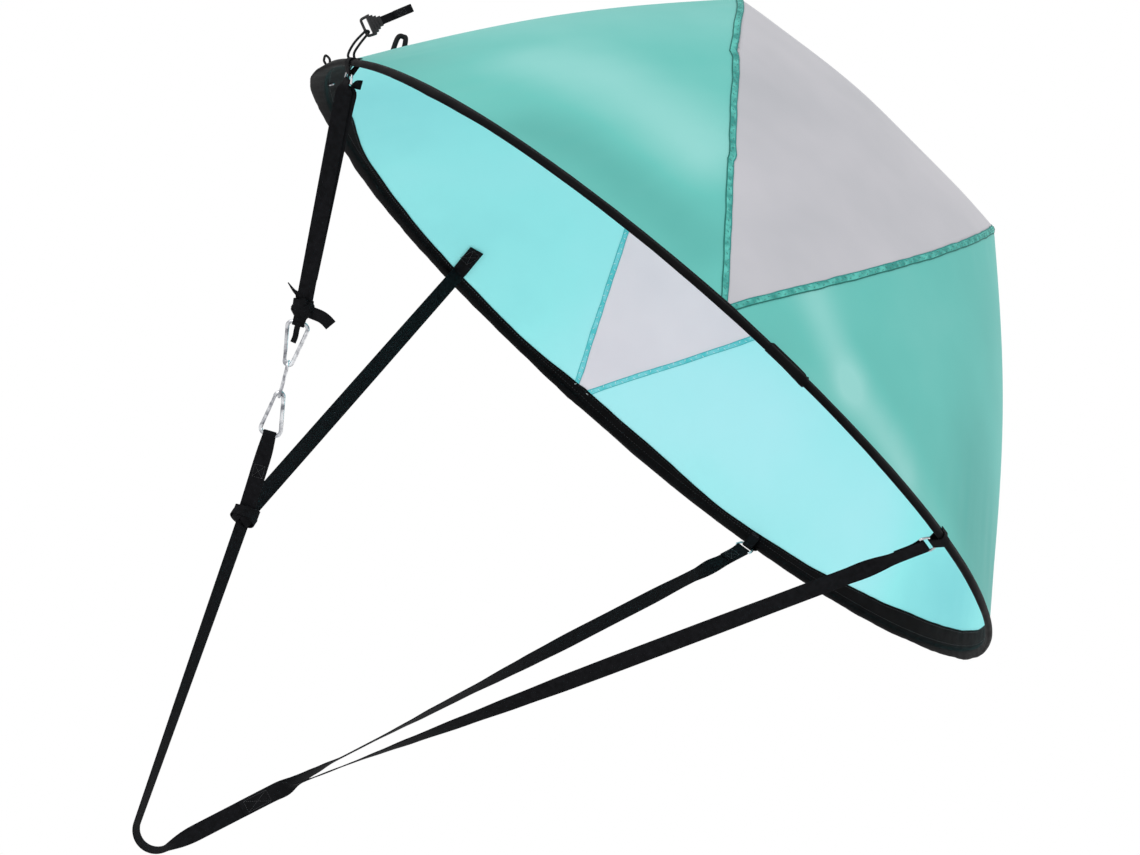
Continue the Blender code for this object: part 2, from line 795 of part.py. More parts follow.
def hook_outline():
    """The snap hook's wire in its own plane: wide end at the origin, narrow end up +Y."""
    u, v = Vector((1, 0, 0)), Vector((0, 1, 0))
    low = Vector((-HOOK_FLAT_HALF, HOOK_CORNER_R, 0))
    high = Vector((0, HOOK_L - HOOK_NARROW_R, 0))
    run = high - low
    lean = asin((HOOK_CORNER_R - HOOK_NARROW_R) / run.length)
    way = run.normalized()
    square = Vector((-way.y, way.x, 0))
    normal = square * cos(lean) + way * sin(lean)
    deg = degrees(atan2(normal.y, normal.x))
    gate_low = low + normal * HOOK_CORNER_R
    gate_high = high + normal * HOOK_NARROW_R
    down = (gate_low - gate_high).normalized()
    nose = gate_low - down * NOSE_L
    left = arc(low, u, v, HOOK_CORNER_R, deg, 270, 6)
    right_centre = Vector((-low.x, low.y, 0))
    right = arc(right_centre, u, v, HOOK_CORNER_R, -90, 180 - deg, 6)
    narrow = arc(high, u, v, HOOK_NARROW_R, 180 - deg, deg, 9)
    wire_end = gate_high + down * HOOK_WIRE_END
    return [nose, *left, *right, *narrow, wire_end], gate_high, down, nose


def build_hook(place, matrix):
    """A snap hook: bent wire with a flat tongue, a slotted gate, and the pin that joins them."""
    line, high, down, nose = hook_outline()
    side = Vector((-down.y, down.x, 0))
    normal = Vector((0, 0, 1))
    pivot = high + down * PIVOT_IN
    body = as_mesh(rod("snap_hook_" + place, line, HOOK_WIRE_R, CHROME, matrix=matrix))
    middle = high + down * (HOOK_WIRE_END / 2 + TONGUE_L / 2)
    size = (TONGUE_L, TONGUE_W, TONGUE_T)
    turn = frame_matrix(middle, down, side, down.cross(side))
    tongue = box("tongue_" + place, size, None, matrix @ turn)
    boolean(body, make_cutter(tongue), "UNION")
    at_pivot = matrix @ frame_matrix(pivot, down, side, down.cross(side))
    long_pin = HOOK_WIRE_R * 4
    hole = cylinder("tongue_hole_" + place, PIN_R + PIN_FIT, long_pin, None, at_pivot, sides=12)
    boolean(body, make_cutter(hole), "DIFFERENCE")

    reach = (nose - pivot).length - NOSE_GAP
    length = reach + GATE_BACK
    centre = down * (reach - GATE_BACK) / 2
    along = frame_matrix(centre, normal, normal.cross(down), down)
    gate = cylinder("gate_" + place, GATE_R, length, CHROME, None, sides=12)
    gate.data.transform(along)
    gate.matrix_local = matrix @ Matrix.Translation(pivot)
    slot_size = (SLOT_L + GATE_BACK + GAP, GATE_R * 4, SLOT_T)
    slot_turn = frame_matrix(pivot + down * (SLOT_L - GATE_BACK - GAP) / 2, down, side, down.cross(side))
    slot = box("gate_slot_" + place, slot_size, None, matrix @ slot_turn)
    boolean(gate, make_cutter(slot), "DIFFERENCE")
    gate_hole = cylinder("gate_hole_" + place, PIN_R + PIN_FIT, long_pin, None, at_pivot, sides=12)
    boolean(gate, make_cutter(gate_hole), "DIFFERENCE")
    cylinder("gate_pin_" + place, PIN_R, GATE_R * 2, CHROME, at_pivot, sides=12)


def build_chain():
    """Upper bight, snap hook, link and lower snap hook, hung in line."""
    upper_at = chain_spot(HOOK_START)
    upper = frame_matrix(upper_at, CHAIN_SIDE, CHAIN_WAY, CHAIN_SIDE.cross(CHAIN_WAY))
    build_hook("upper", upper)
    nest = HOOK_WIRE_R + LINK_WIRE_R + GAP
    link_from = HOOK_START + HOOK_L - nest
    link_to = link_from + 2 * nest + LINK_SPAN
    across = CHAIN_SIDE.cross(CHAIN_WAY)
    half = (link_to - link_from) / 2
    straight = half - LINK_HALF_W
    ends = []
    for sign, start in ((1, -90), (-1, 90)):
        ends += arc(CHAIN_WAY * straight * sign, CHAIN_WAY, across, LINK_HALF_W, start, start + 180, 8)
    centre = chain_spot((link_from + link_to) / 2)
    pivot = chain_spot(HOOK_START + HOOK_L)
    line = [p + centre - pivot for p in ends]
    rod("link", line, LINK_WIRE_R, CHROME, cyclic=True, matrix=Matrix.Translation(pivot))
    lower_wide = link_to - nest - LINK_PLAY + HOOK_L
    lower = frame_matrix(chain_spot(lower_wide), CHAIN_SIDE, -CHAIN_WAY, -CHAIN_SIDE.cross(CHAIN_WAY))
    build_hook("lower", lower)
    return lower_wide


def wrap_line(centre, way, face, reach):
    """A webbing bight round a wire: both legs run back along way, the bend is beyond the wire."""
    radius = HOOK_WIRE_R + WRAP_GAP + WEB_T / 2
    bend = arc(centre, face, -way, radius, 0, 180, 7)
    return [bend[0] + way * reach, *bend, bend[-1] + way * reach]


def knot_curve(centre, shares):
    """Points beside the upper knot, as shares of its half width and half height, a gap clear of it."""
    line = []
    for across, down in shares:
        clear = GAP if across > 0 else -GAP
        sideways = CHAIN_SIDE * (UPPER_KNOT_R.x * across + clear)
        line.append(centre + sideways + CHAIN_WAY * UPPER_KNOT_R.z * down)
    return line


def build_left_side():
    base, aim, across, face = build_ring("near_left", NEAR_LEFT_DEG, CHAIN_TOP)
    knot_face = CHAIN_WAY.cross(CHAIN_SIDE)
    knot_centre = chain_spot(HOOK_START - UPPER_KNOT_R.z - HOOK_WIRE_R - WRAP_GAP - WEB_T)
    start = strap_from_ring(base, aim, across, face)
    wrap_r = RING_WIRE_R + GAP + WEB_T / 2
    bend = arc(base, face, -aim, wrap_r, 0, 180, 7)
    tail = [bend[0] + aim * wrap_r + face * LEFT_TAIL, bend[0] + aim * wrap_r + face * wrap_r]
    end = knot_centre - CHAIN_WAY * (UPPER_KNOT_R.z - KNOT_SINK)
    line = [tail[0], *eased([tail[0], tail[1], bend[0]], wrap_r, 3)[1:-1], *bend, start[-1]]
    free = spline([start[-1], (start[-1] + end) / 2, end], 8)[1:]
    line += free
    spread = [across] * (len(line) - len(free)) + blend_across(across, CHAIN_SIDE, free[:-2], 0.5)
    spread += [spread[-1]] * 2
    webbing("strap_near_left", line, spread, WEB)
    pockets = [pocket_rings(line, spread, WEB_W)]

    lower_wide = build_chain()
    upper_wire = chain_spot(HOOK_START)
    reach = UPPER_KNOT_R.z * 0.62
    bight = wrap_line(upper_wire, -CHAIN_WAY, knot_face, reach)
    webbing("upper_bight", bight, CHAIN_SIDE, WEB, width=WRAP_W)
    for leg in (bight, list(reversed(bight))):
        pockets.append(pocket_rings(leg, CHAIN_SIDE, WRAP_W, len(bight)))
    knot("knot_upper", knot_centre, CHAIN_WAY, CHAIN_SIDE, UPPER_KNOT_R, pockets)

    curl = spline(knot_curve(knot_centre, KNOT_TAIL_SHARES), 6)
    webbing("upper_tail", curl, CHAIN_WAY, WEB, width=WEB_W * 0.75)
    horn = spline(knot_curve(knot_centre, KNOT_CORNER_SHARES), 4)
    widths = [WEB_W * share for share in CORNER_WIDTH_SHARES]
    webbing("upper_corner", horn, CHAIN_WAY + CHAIN_SIDE, WEB, width=widths)

    wire = chain_spot(lower_wide)
    stop = JUNCTION - CHAIN_WAY * (LOWER_KNOT_R.z - KNOT_SINK)
    face_way = knot_face
    radius = HOOK_WIRE_R + WRAP_GAP + WEB_T / 2
    turn = arc(wire, face_way, -CHAIN_WAY, radius, 0, 180, 7)
    close = wire + CHAIN_WAY * radius * 5
    near, far = close + face_way * (WEB_T + GAP), close
    tail_end = near + (stop - far).normalized() * FOLD_TAIL
    line = [tail_end, near, *turn, far, (far + stop) / 2, stop]
    widths = [WEB_W, WEB_W] + [WRAP_W] * len(turn) + [WEB_W] * 3
    webbing("strap_chain", line, CHAIN_SIDE, WEB, width=widths)
    return [pocket_rings(line, CHAIN_SIDE, WEB_W)]


def build_far_left():
    out, along = rim_frame(FAR_LEFT_DEG)
    lay = BAND_T / 2 + GAP * 2.5 + WEB_T / 2
    reaches = (SEWN_END, (SEWN_END + BAND_W) / 2, BAND_W, CASING_R * 2.6)
    spots = [lip(FAR_LEFT_DEG + SEWN_LEAN_DEG * reach / SEWN_END, reach) for reach in reaches]
    sewn = [p - n * lay for p, _, n in spots]
    way = (JUNCTION - sewn[-1]).normalized()
    entry = JUNCTION - way * LOWER_KNOT_R.x * 0.55
    free = [sewn[-1].lerp(entry, k / 6) for k in range(1, 7)]
    turn = eased([sewn[-2], sewn[-1], free[0]], WEB_W / 3)
    line = sewn[:-1] + turn[1:-1] + free
    held = len(sewn[:-1] + turn[1:-1])
    final = square_to(twist(way, 90), way)
    spread = [along] * held + blend_across(along, final, free[:-1])
    spread.append(spread[-1])
    webbing("strap_far_left", line, spread, WEB)
    return pocket_rings(line, spread, WEB_W)


def build_hand_rein():
    """One strap from the lower knot, round the hand's bend, up to where the right reins are sewn."""
    lean = radians(HAND_LEG_DEG)
    out, up = Vector((1, 0, 0)), Vector((0, 0, 1))
    bend = arc(HAND_BEND, out, up, HAND_BEND_R, 180 + HAND_LEG_DEG, 360 - HAND_LEG_DEG, 9)
    way = (bend[0] - JUNCTION).normalized()
    top = JUNCTION + way * LOWER_KNOT_R.z * 0.6
    left = [top.lerp(bend[0], k / 8) for k in range(8)]
    right_way = (MERGE - bend[-1]).normalized()
    lap_from = MERGE - right_way * LAP_SEAM
    right = [bend[-1].lerp(lap_from, k / 3) for k in range(1, 4)]
    line = left + bend + right + [MERGE]
    ways = tangents(line)
    turns = [55 - 35 * max(k - 2, 0) / 6 for k in range(8)]
    turns += [20.0] * len(bend)
    turns += [42.0, 66.0, 90.0, 90.0]
    across = [twist(along, deg) for along, deg in zip(ways, turns)]
    webbing("hand_rein", line, across, WEB)
    pocket = pocket_rings(list(reversed(line)), list(reversed(across)), WEB_W)
    return pocket, lap_from, right_way


def build_right_side(lap_from, right_way):
    """The two right reins, each folded over its ring and sewn to a face of the hand rein."""
    flat = twist(right_way, 90)
    face = flat.cross(right_way).normalized()
    if face.dot(SIDE) < 0:
        face = -face
    routes = (
        ("near_right", "rein_near", NEAR_RIGHT_DEG, 1, (90, 168, 150, 128, 110, 100)),
        ("far_right", "rein_far", FAR_RIGHT_DEG, -1, (90, 130, 140, 128, 115, 105)),
    )
    for place, name, deg, sign, turns in routes:
        base, aim, across, ring_face = build_ring(place, deg, MERGE)
        start = strap_from_ring(base, aim, across, ring_face)
        layer = face * sign * (WEB_T + GAP)
        lap = [lap_from + layer, lap_from.lerp(MERGE, 0.5) + layer, MERGE + layer]
        end = start[-1]
        points = [lap[-1]] + [lap[-1].lerp(end, t) for t in (0.15, 0.35, 0.6, 0.85)] + [end]
        points[1] = points[1] + right_way * WEB_W / 5
        line, spread = twisted(points, turns, 30, first=flat, last=across)
        fold = list(reversed(start[:-1]))
        whole = lap[:2] + line + fold
        spread = [flat] * 2 + spread + [across] * len(fold)
        webbing(name, whole, spread, WEB)


def build_deck_fastener():
    bar_at = lip(DECK_CORD_DEG, 0.0)[0] + BUCKLE_FROM_RIM
    aim = BUCKLE_AIM.normalized()
    face = square_to(SIDE, aim)
    width = face.cross(aim)
    matrix = frame_matrix(bar_at, aim, width, aim.cross(width))
    half, bar = BUCKLE_HALF_W, BUCKLE_HALF_W * 0.82
    step_w = (half - BUCKLE_END_HALF) / BUCKLE_STEPS
    step_l = (BUCKLE_L - BUCKLE_BODY_FROM) / (BUCKLE_STEPS + 1.5)
    outline = [Vector((BUCKLE_BODY_FROM, half, 0))]
    for k in range(BUCKLE_STEPS):
        x = BUCKLE_BODY_FROM + step_l * (k + 1.2)
        y = half - step_w * k
        outline += [Vector((x, y, 0)), Vector((x, y - step_w, 0))]
    outline.append(Vector((BUCKLE_L, BUCKLE_END_HALF, 0)))
    mirrored = [Vector((p.x, -p.y, 0)) for p in reversed(outline)]
    data = bpy.data.curves.new("deck_buckle", "CURVE")
    data.dimensions = "2D"
    data.fill_mode = "BOTH"
    data.extrude = BUCKLE_T / 2
    shape = data.splines.new("POLY")
    spots = outline + mirrored
    shape.points.add(len(spots) - 1)
    for spot, point in zip(shape.points, spots):
        spot.co = (*point, 1.0)
    shape.use_cyclic_u = True
    plate = as_mesh(add_object("deck_buckle", data, MOULDED, matrix))
    bail = [
        Vector((BUCKLE_BODY_FROM + step_l, half - BUCKLE_BAR_R, 0)),
        Vector((BUCKLE_BODY_FROM * 0.8, half - BUCKLE_BAR_R, 0)),
        Vector((0, bar, 0)),
        Vector((0, -bar, 0)),
        Vector((BUCKLE_BODY_FROM * 0.8, -half + BUCKLE_BAR_R, 0)),
        Vector((BUCKLE_BODY_FROM + step_l, -half + BUCKLE_BAR_R, 0)),
    ]
    wire = rod("buckle_bail", eased(bail, BUCKLE_BAR_R, 2), BUCKLE_BAR_R, None, matrix=matrix)
    boolean(plate, make_cutter(as_mesh(wire)), "UNION")

    slot_size = (PULL_IN * 2, PULL_W + GAP * 2, PULL_T + GAP * 2)
    slot = box("pull_slot", slot_size, None, matrix @ Matrix.Translation((BUCKLE_L, 0, 0)))
    boolean(plate, make_cutter(slot), "DIFFERENCE")

    reach = BUCKLE_L - PULL_IN + GAP
    tip = BUCKLE_L + PULL_L
    turn_r = PULL_T / 2 + GAP * 2
    bend = arc(Vector((tip, 0, turn_r)), Vector((0, 0, -1)), Vector((1, 0, 0)), turn_r, 0, 180, 6)
    line = [Vector((reach, 0, 0)), Vector((tip - PULL_FOLD, 0, 0)), *bend,
            Vector((tip - PULL_FOLD, 0, turn_r * 2))]
    webbing_in_place = ribbon_rings(line, Vector((0, 1, 0)), PULL_W, PULL_T)
    loft("deck_pull", webbing_in_place, WEB, matrix=matrix)

    normal = aim.cross(width)
    wrap = BUCKLE_BAR_R + GAP + DECK_CORD_R
    spread = DECK_CORD_R * 1.6
    bar_spot = bar_at + width * bar * CORD_BAR_SHARE
    loop = []
    for k in range(9):
        a = radians(-90 + 180 * k / 8)
        shift = width * spread * (2 * k / 8 - 1)
        loop.append(bar_spot + aim * wrap * cos(a) + normal * wrap * sin(a) + shift)
    legs = []
    for sign, first in ((-1, loop[0]), (1, loop[-1])):
        deg = DECK_CORD_DEG + sign * degrees(spread / HOOP_R)
        point, _, out = lip(deg, OUTER_LAP * 0.7)
        root = point + out * (BAND_T / 2 + GAP)
        rise = root + out * DECK_CORD_R * 5
        legs.append([root, rise, rise.lerp(first, 0.55) - aim * DECK_CORD_R * 2, first])
    path = spline(legs[0], 9)[:-1] + loop + list(reversed(spline(legs[1], 9)))[1:]
    rod("deck_cord", path, DECK_CORD_R, CORD, resolution=1)


def build_loops():
    """The stow loop on the left panel, the hang loop on the sleeve, and the sleeve's eyelet."""
    x, y = (HOOP_R * share for share in STOW_PLACE_SHARE)
    feet = []
    for foot, height in zip((cloth_point(x, y), cloth_point(x + STOW_FOOT_GAP, y)), STOW_LEG_H):
        up = cloth_normal(foot.x, y, STOW_R / 3)
        base = foot + up * (CLOTH_T / 2 + GAP)
        feet.append((base, base + up * height))
    (first, first_top), (last, last_top) = feet
    points = [first, first_top, *(first + rise for rise in STOW_TOP), last_top, last]
    rod("stow_loop", spline(points, 20), STOW_R, CORD, resolution=2)

    point, _, up = lip(HANG_DEG, 0.0)
    _, along = rim_frame(HANG_DEG)
    root = point + up * (CASING_R + GAP + HANG_R / 2)
    half = along * HANG_R * 2.2
    hoop = [root - half, root - half * 1.3 + up * HANG_H * 0.5, root + up * HANG_H,
            root + half * 1.3 + up * HANG_H * 0.5, root + half]
    rod("hang_loop", spline(hoop, 14), HANG_R, CORD, resolution=1)

    spot, inward, out = lip(EYELET_DEG, EYELET_IN)
    _, along = rim_frame(EYELET_DEG)
    seat = spot - out * (BAND_T / 2 + GAP + EYELET_T / 2)
    matrix = frame_matrix(seat, inward, along, inward.cross(along))
    half = EYELET_T / 2
    profile = [
        (EYELET_R - half, half),
        (EYELET_R, 0.0),
        (EYELET_R, -half),
        (EYELET_HOLE_R, -half),
        (EYELET_HOLE_R, half),
    ]
    turned("sleeve_eyelet", profile, CHROME, matrix, steps=12)


clear_scene()
PARTS = collection("canoe_sail")
CUTTERS = collection("cutters")
FRAME = bpy.data.objects.new("hoop_centre", None)
PARTS.objects.link(FRAME)
FRAME.location = HOOP_CENTRE
bpy.context.view_layer.update()

TEAL = material("teal_sailcloth", (0.17, 0.58, 0.50), 0.65)
CLEAR = material("frosted_film", (0.55, 0.55, 0.58), 0.35)
BINDING = material("seam_binding", (0.05, 0.37, 0.34), 0.6)
TAPE = material("black_tape", (0.016, 0.016, 0.019), 0.75)
WEB = material("black_webbing", (0.008, 0.008, 0.009), 0.8)
CORD = material("black_cord", (0.010, 0.010, 0.011), 0.8)
MOULDED = material("black_acetal", (0.012, 0.012, 0.013), 0.4)
CHROME = material("plated_steel", (0.75, 0.75, 0.77), 0.2, 1.0)
STEEL = material("spring_steel", (0.30, 0.30, 0.32), 0.35, 1.0)
BRASS = material("brass_ferrule", (0.60, 0.44, 0.18), 0.35, 1.0)

CHAIN_WAY = (CHAIN_BOTTOM - CHAIN_TOP).normalized()
CHAIN_SIDE = SIDE.cross(CHAIN_WAY).normalized()

build_hoop()
build_lap()
build_cloth()
LOWER_POCKETS = [*build_left_side(), build_far_left()]
HAND_POCKET, LAP_FROM, RIGHT_WAY = build_hand_rein()
build_right_side(LAP_FROM, RIGHT_WAY)
KNOT_WAY = (HAND_BEND - JUNCTION).normalized()
LOWER_POCKETS.append(HAND_POCKET)
knot("knot_lower", JUNCTION, KNOT_WAY, twist(KNOT_WAY, 90), LOWER_KNOT_R, LOWER_POCKETS)
build_deck_fastener()
build_loops()
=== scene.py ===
"""A pop-up canoe sail held by its reins: cloth bowl, film window, taped hoop and snap hooks."""

from math import acos, asin, atan2, cos, degrees, exp, hypot, pi, radians, sin, sqrt, tan

import bmesh
import bpy
from mathutils import Matrix, Vector, noise


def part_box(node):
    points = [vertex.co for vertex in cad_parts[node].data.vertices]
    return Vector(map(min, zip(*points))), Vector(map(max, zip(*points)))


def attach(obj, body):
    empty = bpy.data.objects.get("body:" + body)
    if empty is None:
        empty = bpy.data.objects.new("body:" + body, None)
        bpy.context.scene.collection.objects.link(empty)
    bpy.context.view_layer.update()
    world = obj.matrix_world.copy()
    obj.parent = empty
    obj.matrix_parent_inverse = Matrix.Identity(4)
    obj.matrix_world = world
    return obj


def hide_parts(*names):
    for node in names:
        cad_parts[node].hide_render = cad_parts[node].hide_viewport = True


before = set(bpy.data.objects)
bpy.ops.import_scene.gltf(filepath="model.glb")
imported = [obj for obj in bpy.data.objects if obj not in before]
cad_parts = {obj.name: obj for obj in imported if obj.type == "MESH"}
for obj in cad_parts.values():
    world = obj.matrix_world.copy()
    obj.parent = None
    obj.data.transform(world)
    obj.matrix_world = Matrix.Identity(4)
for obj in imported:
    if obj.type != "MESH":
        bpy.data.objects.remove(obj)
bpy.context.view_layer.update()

# The view, the light and the room
# The sail hangs in the air and is seen from just below its rim, by a long lens five metres away.
# A broad soft panel and a weaker one light it, in a pale room that shows as plain white.
HOOP_LOW, HOOP_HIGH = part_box("hoop_rod")
HOOP_CENTRE = (Vector(HOOP_LOW) + Vector(HOOP_HIGH)) / 2
VIEW_FROM_DEG = -3.0
VIEW_BELOW_DEG = 10.9
VIEW_ROLL_DEG = 41.3
VIEW_DISTANCE = 5.0
VIEW_PX_PER_M = 812.0
PHOTO_SIZE = (1140, 855)
HOOP_CENTRE_PX = (650.0, 364.0)
SENSOR_MM = 36.0
FLOOR_DROP = 0.75
FLOOR_SIZE = 14.0
ROOM_LIGHT = 0.78
PANEL_LIGHT_D = 2.4
# Each light's name, its watts and how far it is towards the view, the picture's right and its top
LIGHTS = (("key_panel", 34.0, 2.6, -1.6, 1.8), ("fill_panel", 12.0, 1.8, 2.6, -0.6))


def srgb(code):
    """A hex colour as the linear values that a shader takes."""
    parts = [int(code[k : k + 2], 16) / 255 for k in (1, 3, 5)]
    return (*[c / 12.92 if c <= 0.04045 else ((c + 0.055) / 1.055) ** 2.4 for c in parts], 1.0)


def feed(made, inputs):
    """Sets a node's inputs, each to a value or linked to another node's output."""
    for name, value in inputs.items():
        if isinstance(value, bpy.types.NodeSocket):
            made.id_data.links.new(value, made.inputs[name])
        else:
            made.inputs[name].default_value = value
    return made


def node(tree, kind, inputs=(), output=0, **settings):
    """Adds a node and returns one of its outputs."""
    made = tree.nodes.new("ShaderNode" + kind)
    for name, value in settings.items():
        setattr(made, name, value)
    return feed(made, dict(inputs)).outputs[output]


def put(name, data):
    made = bpy.data.objects.new(name, data)
    bpy.context.collection.objects.link(made)
    return made


def mesh_of(name, shape):
    mesh = bpy.data.meshes.new(name)
    shape.to_mesh(mesh)
    shape.free()
    return mesh


def set_view():
    side, below, roll = (radians(deg) for deg in (VIEW_FROM_DEG, VIEW_BELOW_DEG, VIEW_ROLL_DEG))
    back = Vector((sin(side) * cos(below), -cos(side) * cos(below), -sin(below)))
    level = Vector((cos(side), sin(side), 0.0))
    upright = back.cross(level)
    right = level * cos(roll) + upright * sin(roll)
    up = upright * cos(roll) - level * sin(roll)
    data = bpy.data.cameras.new("view")
    data.sensor_width = SENSOR_MM
    data.lens = VIEW_PX_PER_M * VIEW_DISTANCE / PHOTO_SIZE[0] * SENSOR_MM
    data.shift_x = (PHOTO_SIZE[0] / 2 - HOOP_CENTRE_PX[0]) / PHOTO_SIZE[0]
    data.shift_y = (HOOP_CENTRE_PX[1] - PHOTO_SIZE[1] / 2) / PHOTO_SIZE[0]
    turn = Matrix((right, up, back)).transposed().to_4x4()
    camera = put("view", data)
    camera.matrix_world = Matrix.Translation(HOOP_CENTRE + back * VIEW_DISTANCE) @ turn
    bpy.context.scene.camera = camera
    return back, right, up


def set_light(name, watts, place):
    data = bpy.data.lights.new(name, "AREA")
    data.shape, data.size, data.energy = "DISK", PANEL_LIGHT_D, watts
    lamp = put(name, data)
    lamp.location = place
    lamp.rotation_euler = (HOOP_CENTRE - place).to_track_quat("-Z", "Y").to_euler()


def set_room():
    world = bpy.data.worlds.new("room")
    bpy.context.scene.world = world
    world.use_nodes = True
    tree = world.node_tree
    tree.nodes.clear()
    rays = tree.nodes.new("ShaderNodeLightPath").outputs
    seen = rays["Is Camera Ray"]
    for kind in ("Is Glossy Ray", "Is Transmission Ray"):
        seen = node(tree, "Math", {0: seen, 1: rays[kind]}, operation="MAXIMUM")
    white = (1.0, 1.0, 1.0, 1.0)
    lit, shown = (node(tree, "Background", {0: white, 1: level}) for level in (ROOM_LIGHT, 1.0))
    mix = node(tree, "MixShader", {0: seen, 1: lit, 2: shown})
    feed(tree.nodes.new("ShaderNodeOutputWorld"), {"Surface": mix})


def new_finish(name):
    made = bpy.data.materials.new(name)
    made.use_nodes = True
    return made, made.node_tree


def dress(made, colour, roughness, shine=0.5, relief=None, sheen=0.0, metal=0.0, painted_glow=None):
    """Sets a material's shader. Its emission is painted light, standing in for light from behind,
    which comes through a thin cloth.
    """
    inputs = {"Base Color": colour, "Roughness": roughness, "Specular IOR Level": shine,
              "Sheen Weight": sheen, "Metallic": metal}
    if relief is not None:
        inputs["Normal"] = relief
    if painted_glow is not None:
        inputs.update({"Emission Color": colour, "Emission Strength": painted_glow})
    feed(made.node_tree.nodes["Principled BSDF"], inputs)
    return made


def set_floor():
    shape = bmesh.new()
    bmesh.ops.create_grid(shape, x_segments=1, y_segments=1, size=FLOOR_SIZE)
    bmesh.ops.translate(shape, vec=(0.0, 0.0, -FLOOR_DROP), verts=shape.verts)
    floor = put("floor", mesh_of("floor", shape))
    floor.data.materials.append(dress(new_finish("matt_floor_paint")[0], srgb("#F4F4F4"), 0.9))


bpy.context.scene.view_settings.view_transform = "Standard"
TO_VIEW, PICTURE_RIGHT, PICTURE_UP = set_view()
set_room()
set_floor()
for name, watts, nearer, right, up in LIGHTS:
    place = TO_VIEW * nearer + PICTURE_RIGHT * right + PICTURE_UP * up
    set_light(name, watts, HOOP_CENTRE + place)


# The cloth bowl
# Two panels of coated taffeta, cut so that they stand in a bowl when the wind fills them. Outside,
# the coating shows a deeper teal. Inside, light comes through and makes them pale and bluer; that
# light is painted, as paler, bluer tints and a painted emission. Both faces carry painted bands of
# sheen and shade.
HOOP_R = 0.5356
SAIL_DEPTH = 0.4188
DEPTH_POWER = 1.53
WINDOW_HALF = 0.2137
WINDOW_END_HALF = 0.003
WINDOW_FADE = 1.09
WINDOW_MIDDLE_X = -0.0046
NEAR_TIP_X = -0.0067
FAR_TIP_X = -0.0211
WINDOW_CROWN = 0.0157
BILLOW_LEFT = 0.0285
BILLOW_RIGHT = 0.0299
CLOTH_T = 0.0004
CLOTH_IN = 0.005
LIP_STEPS = 6
PANEL_ROWS = 240
PANEL_COLUMNS = 56
# The real threads are 0.2 mm apart, too fine to show, so they are drawn eight times as coarse
TAFFETA_PITCH = 0.0016
PANEL_UV = (0.5, 1.3)
# Each band of painted light or painted shade lies along a line in the hoop's plane, in shares of
# its
# radius: where it starts and ends, how wide it is, and how light (up to 1) or dark (down to -1)
OUTER_PAINTED_BANDS = (
    (-0.66, -0.49, -0.25, -0.72, 0.085, 0.85), (-0.60, -0.27, -0.30, -0.28, 0.14, 0.18),
    (-0.93, -0.33, -0.74, -0.50, 0.12, -0.40), (-0.56, -0.77, -0.14, -0.93, 0.075, -0.42),
    (0.10, -0.83, 0.30, -0.865, 0.045, 0.80), (0.30, -0.865, 0.52, -0.82, 0.045, 0.62),
    (0.74, -0.56, 0.92, -0.34, 0.15, -0.62), (0.20, -0.97, 0.70, -0.71, 0.05, 0.20),
)
INNER_PAINTED_BANDS = (
    (0.05, 0.93, 0.66, 0.54, 0.24, 0.62), (0.85, 0.38, 0.95, 0.15, 0.12, -0.60),
    (-0.86, 0.46, -0.96, 0.25, 0.14, -0.22), (-0.22, 0.90, -0.50, 0.70, 0.12, -0.08),
)


def ease(value, width):
    """1 at nothing, falling softly to 0 over the width."""
    return exp(-((value / width) ** 2))


def grain(strength, *spot):
    """Smooth noise at a spot, up to about the strength either way."""
    return strength * noise.noise(Vector(spot))


def window_half(y):
    fall = max(1 - (y / HOOP_R) ** 2, 0.0) ** WINDOW_FADE
    return WINDOW_END_HALF + (WINDOW_HALF - WINDOW_END_HALF) * fall


def window_middle(y):
    """The window's axis, which is sewn in a little askew."""
    tip = FAR_TIP_X if y > 0 else NEAR_TIP_X
    return WINDOW_MIDDLE_X + (tip - WINDOW_MIDDLE_X) * (y / HOOP_R) ** 2


def seam_x(side, y):
    return window_middle(y) + side * window_half(y)


def cloth_height(x, y):
    """The cloth's height over the hoop's plane: a bowl, creased at the window's seams."""
    chord = sqrt(max(HOOP_R**2 - y**2, 0.0))
    peak = SAIL_DEPTH * (1 - min(abs(y) / HOOP_R, 1.0) ** DEPTH_POWER)
    half, off = window_half(y), x - window_middle(y)
    fade = (chord / HOOP_R) ** 2
    if abs(off) <= half:
        return peak + WINDOW_CROWN * fade * (1 - (off / half) ** 2)
    side = 1 if off > 0 else -1
    share = (chord - side * x) / max(chord - side * seam_x(side, y), CLOTH_T)
    billow = BILLOW_RIGHT if side > 0 else BILLOW_LEFT
    return peak * share + billow * fade * sin(pi * min(max(share, 0.0), 1.0))


def slack(x, y):
    """How far the cloth is off that shape: puckers along the seams and the rim, and slow waves."""
    off = x - window_middle(y)
    to_seam, to_rim = abs(abs(off) - window_half(y)), HOOP_R - hypot(x, y)
    if abs(off) <= window_half(y):
        ripple = grain(0.0014, x * 3, y * 48, 2.0) * ease(to_seam, 0.022)
        wave = grain(0.0040, x * 6, y * 4, 7.0) * min(to_seam / 0.05, 1.0)
    else:
        side = 1.0 if off > 0 else -1.0
        ripple = grain(0.0014, x * 4, y * 46, side) * ease(to_seam, 0.030)
        ripple += grain(0.0018, atan2(y, x) * 24, to_rim * 7, side + 4) * ease(to_rim - 0.03, 0.05)
        wave = grain(0.0030, x * 5, y * 5, side + 9)
    return (ripple + wave) * max(min(to_seam / 0.012, to_rim / 0.05, 1.0), 0.0)


def cloth_point(x, y):
    return Vector((x, y, cloth_height(x, y) + slack(x, y)))


def cloth_normal(x, y, step=0.001):
    """The cloth's outward normal, from its slopes on the side that step points to."""
    rise_x = (cloth_height(x + step, y) - cloth_height(x, y)) / step
    dy = abs(step) if y < 0 else -abs(step)
    rise_y = (cloth_height(x + step, y + dy) - cloth_height(x + step, y)) / dy
    return Vector((-rise_x, -rise_y, 1.0)).normalized()


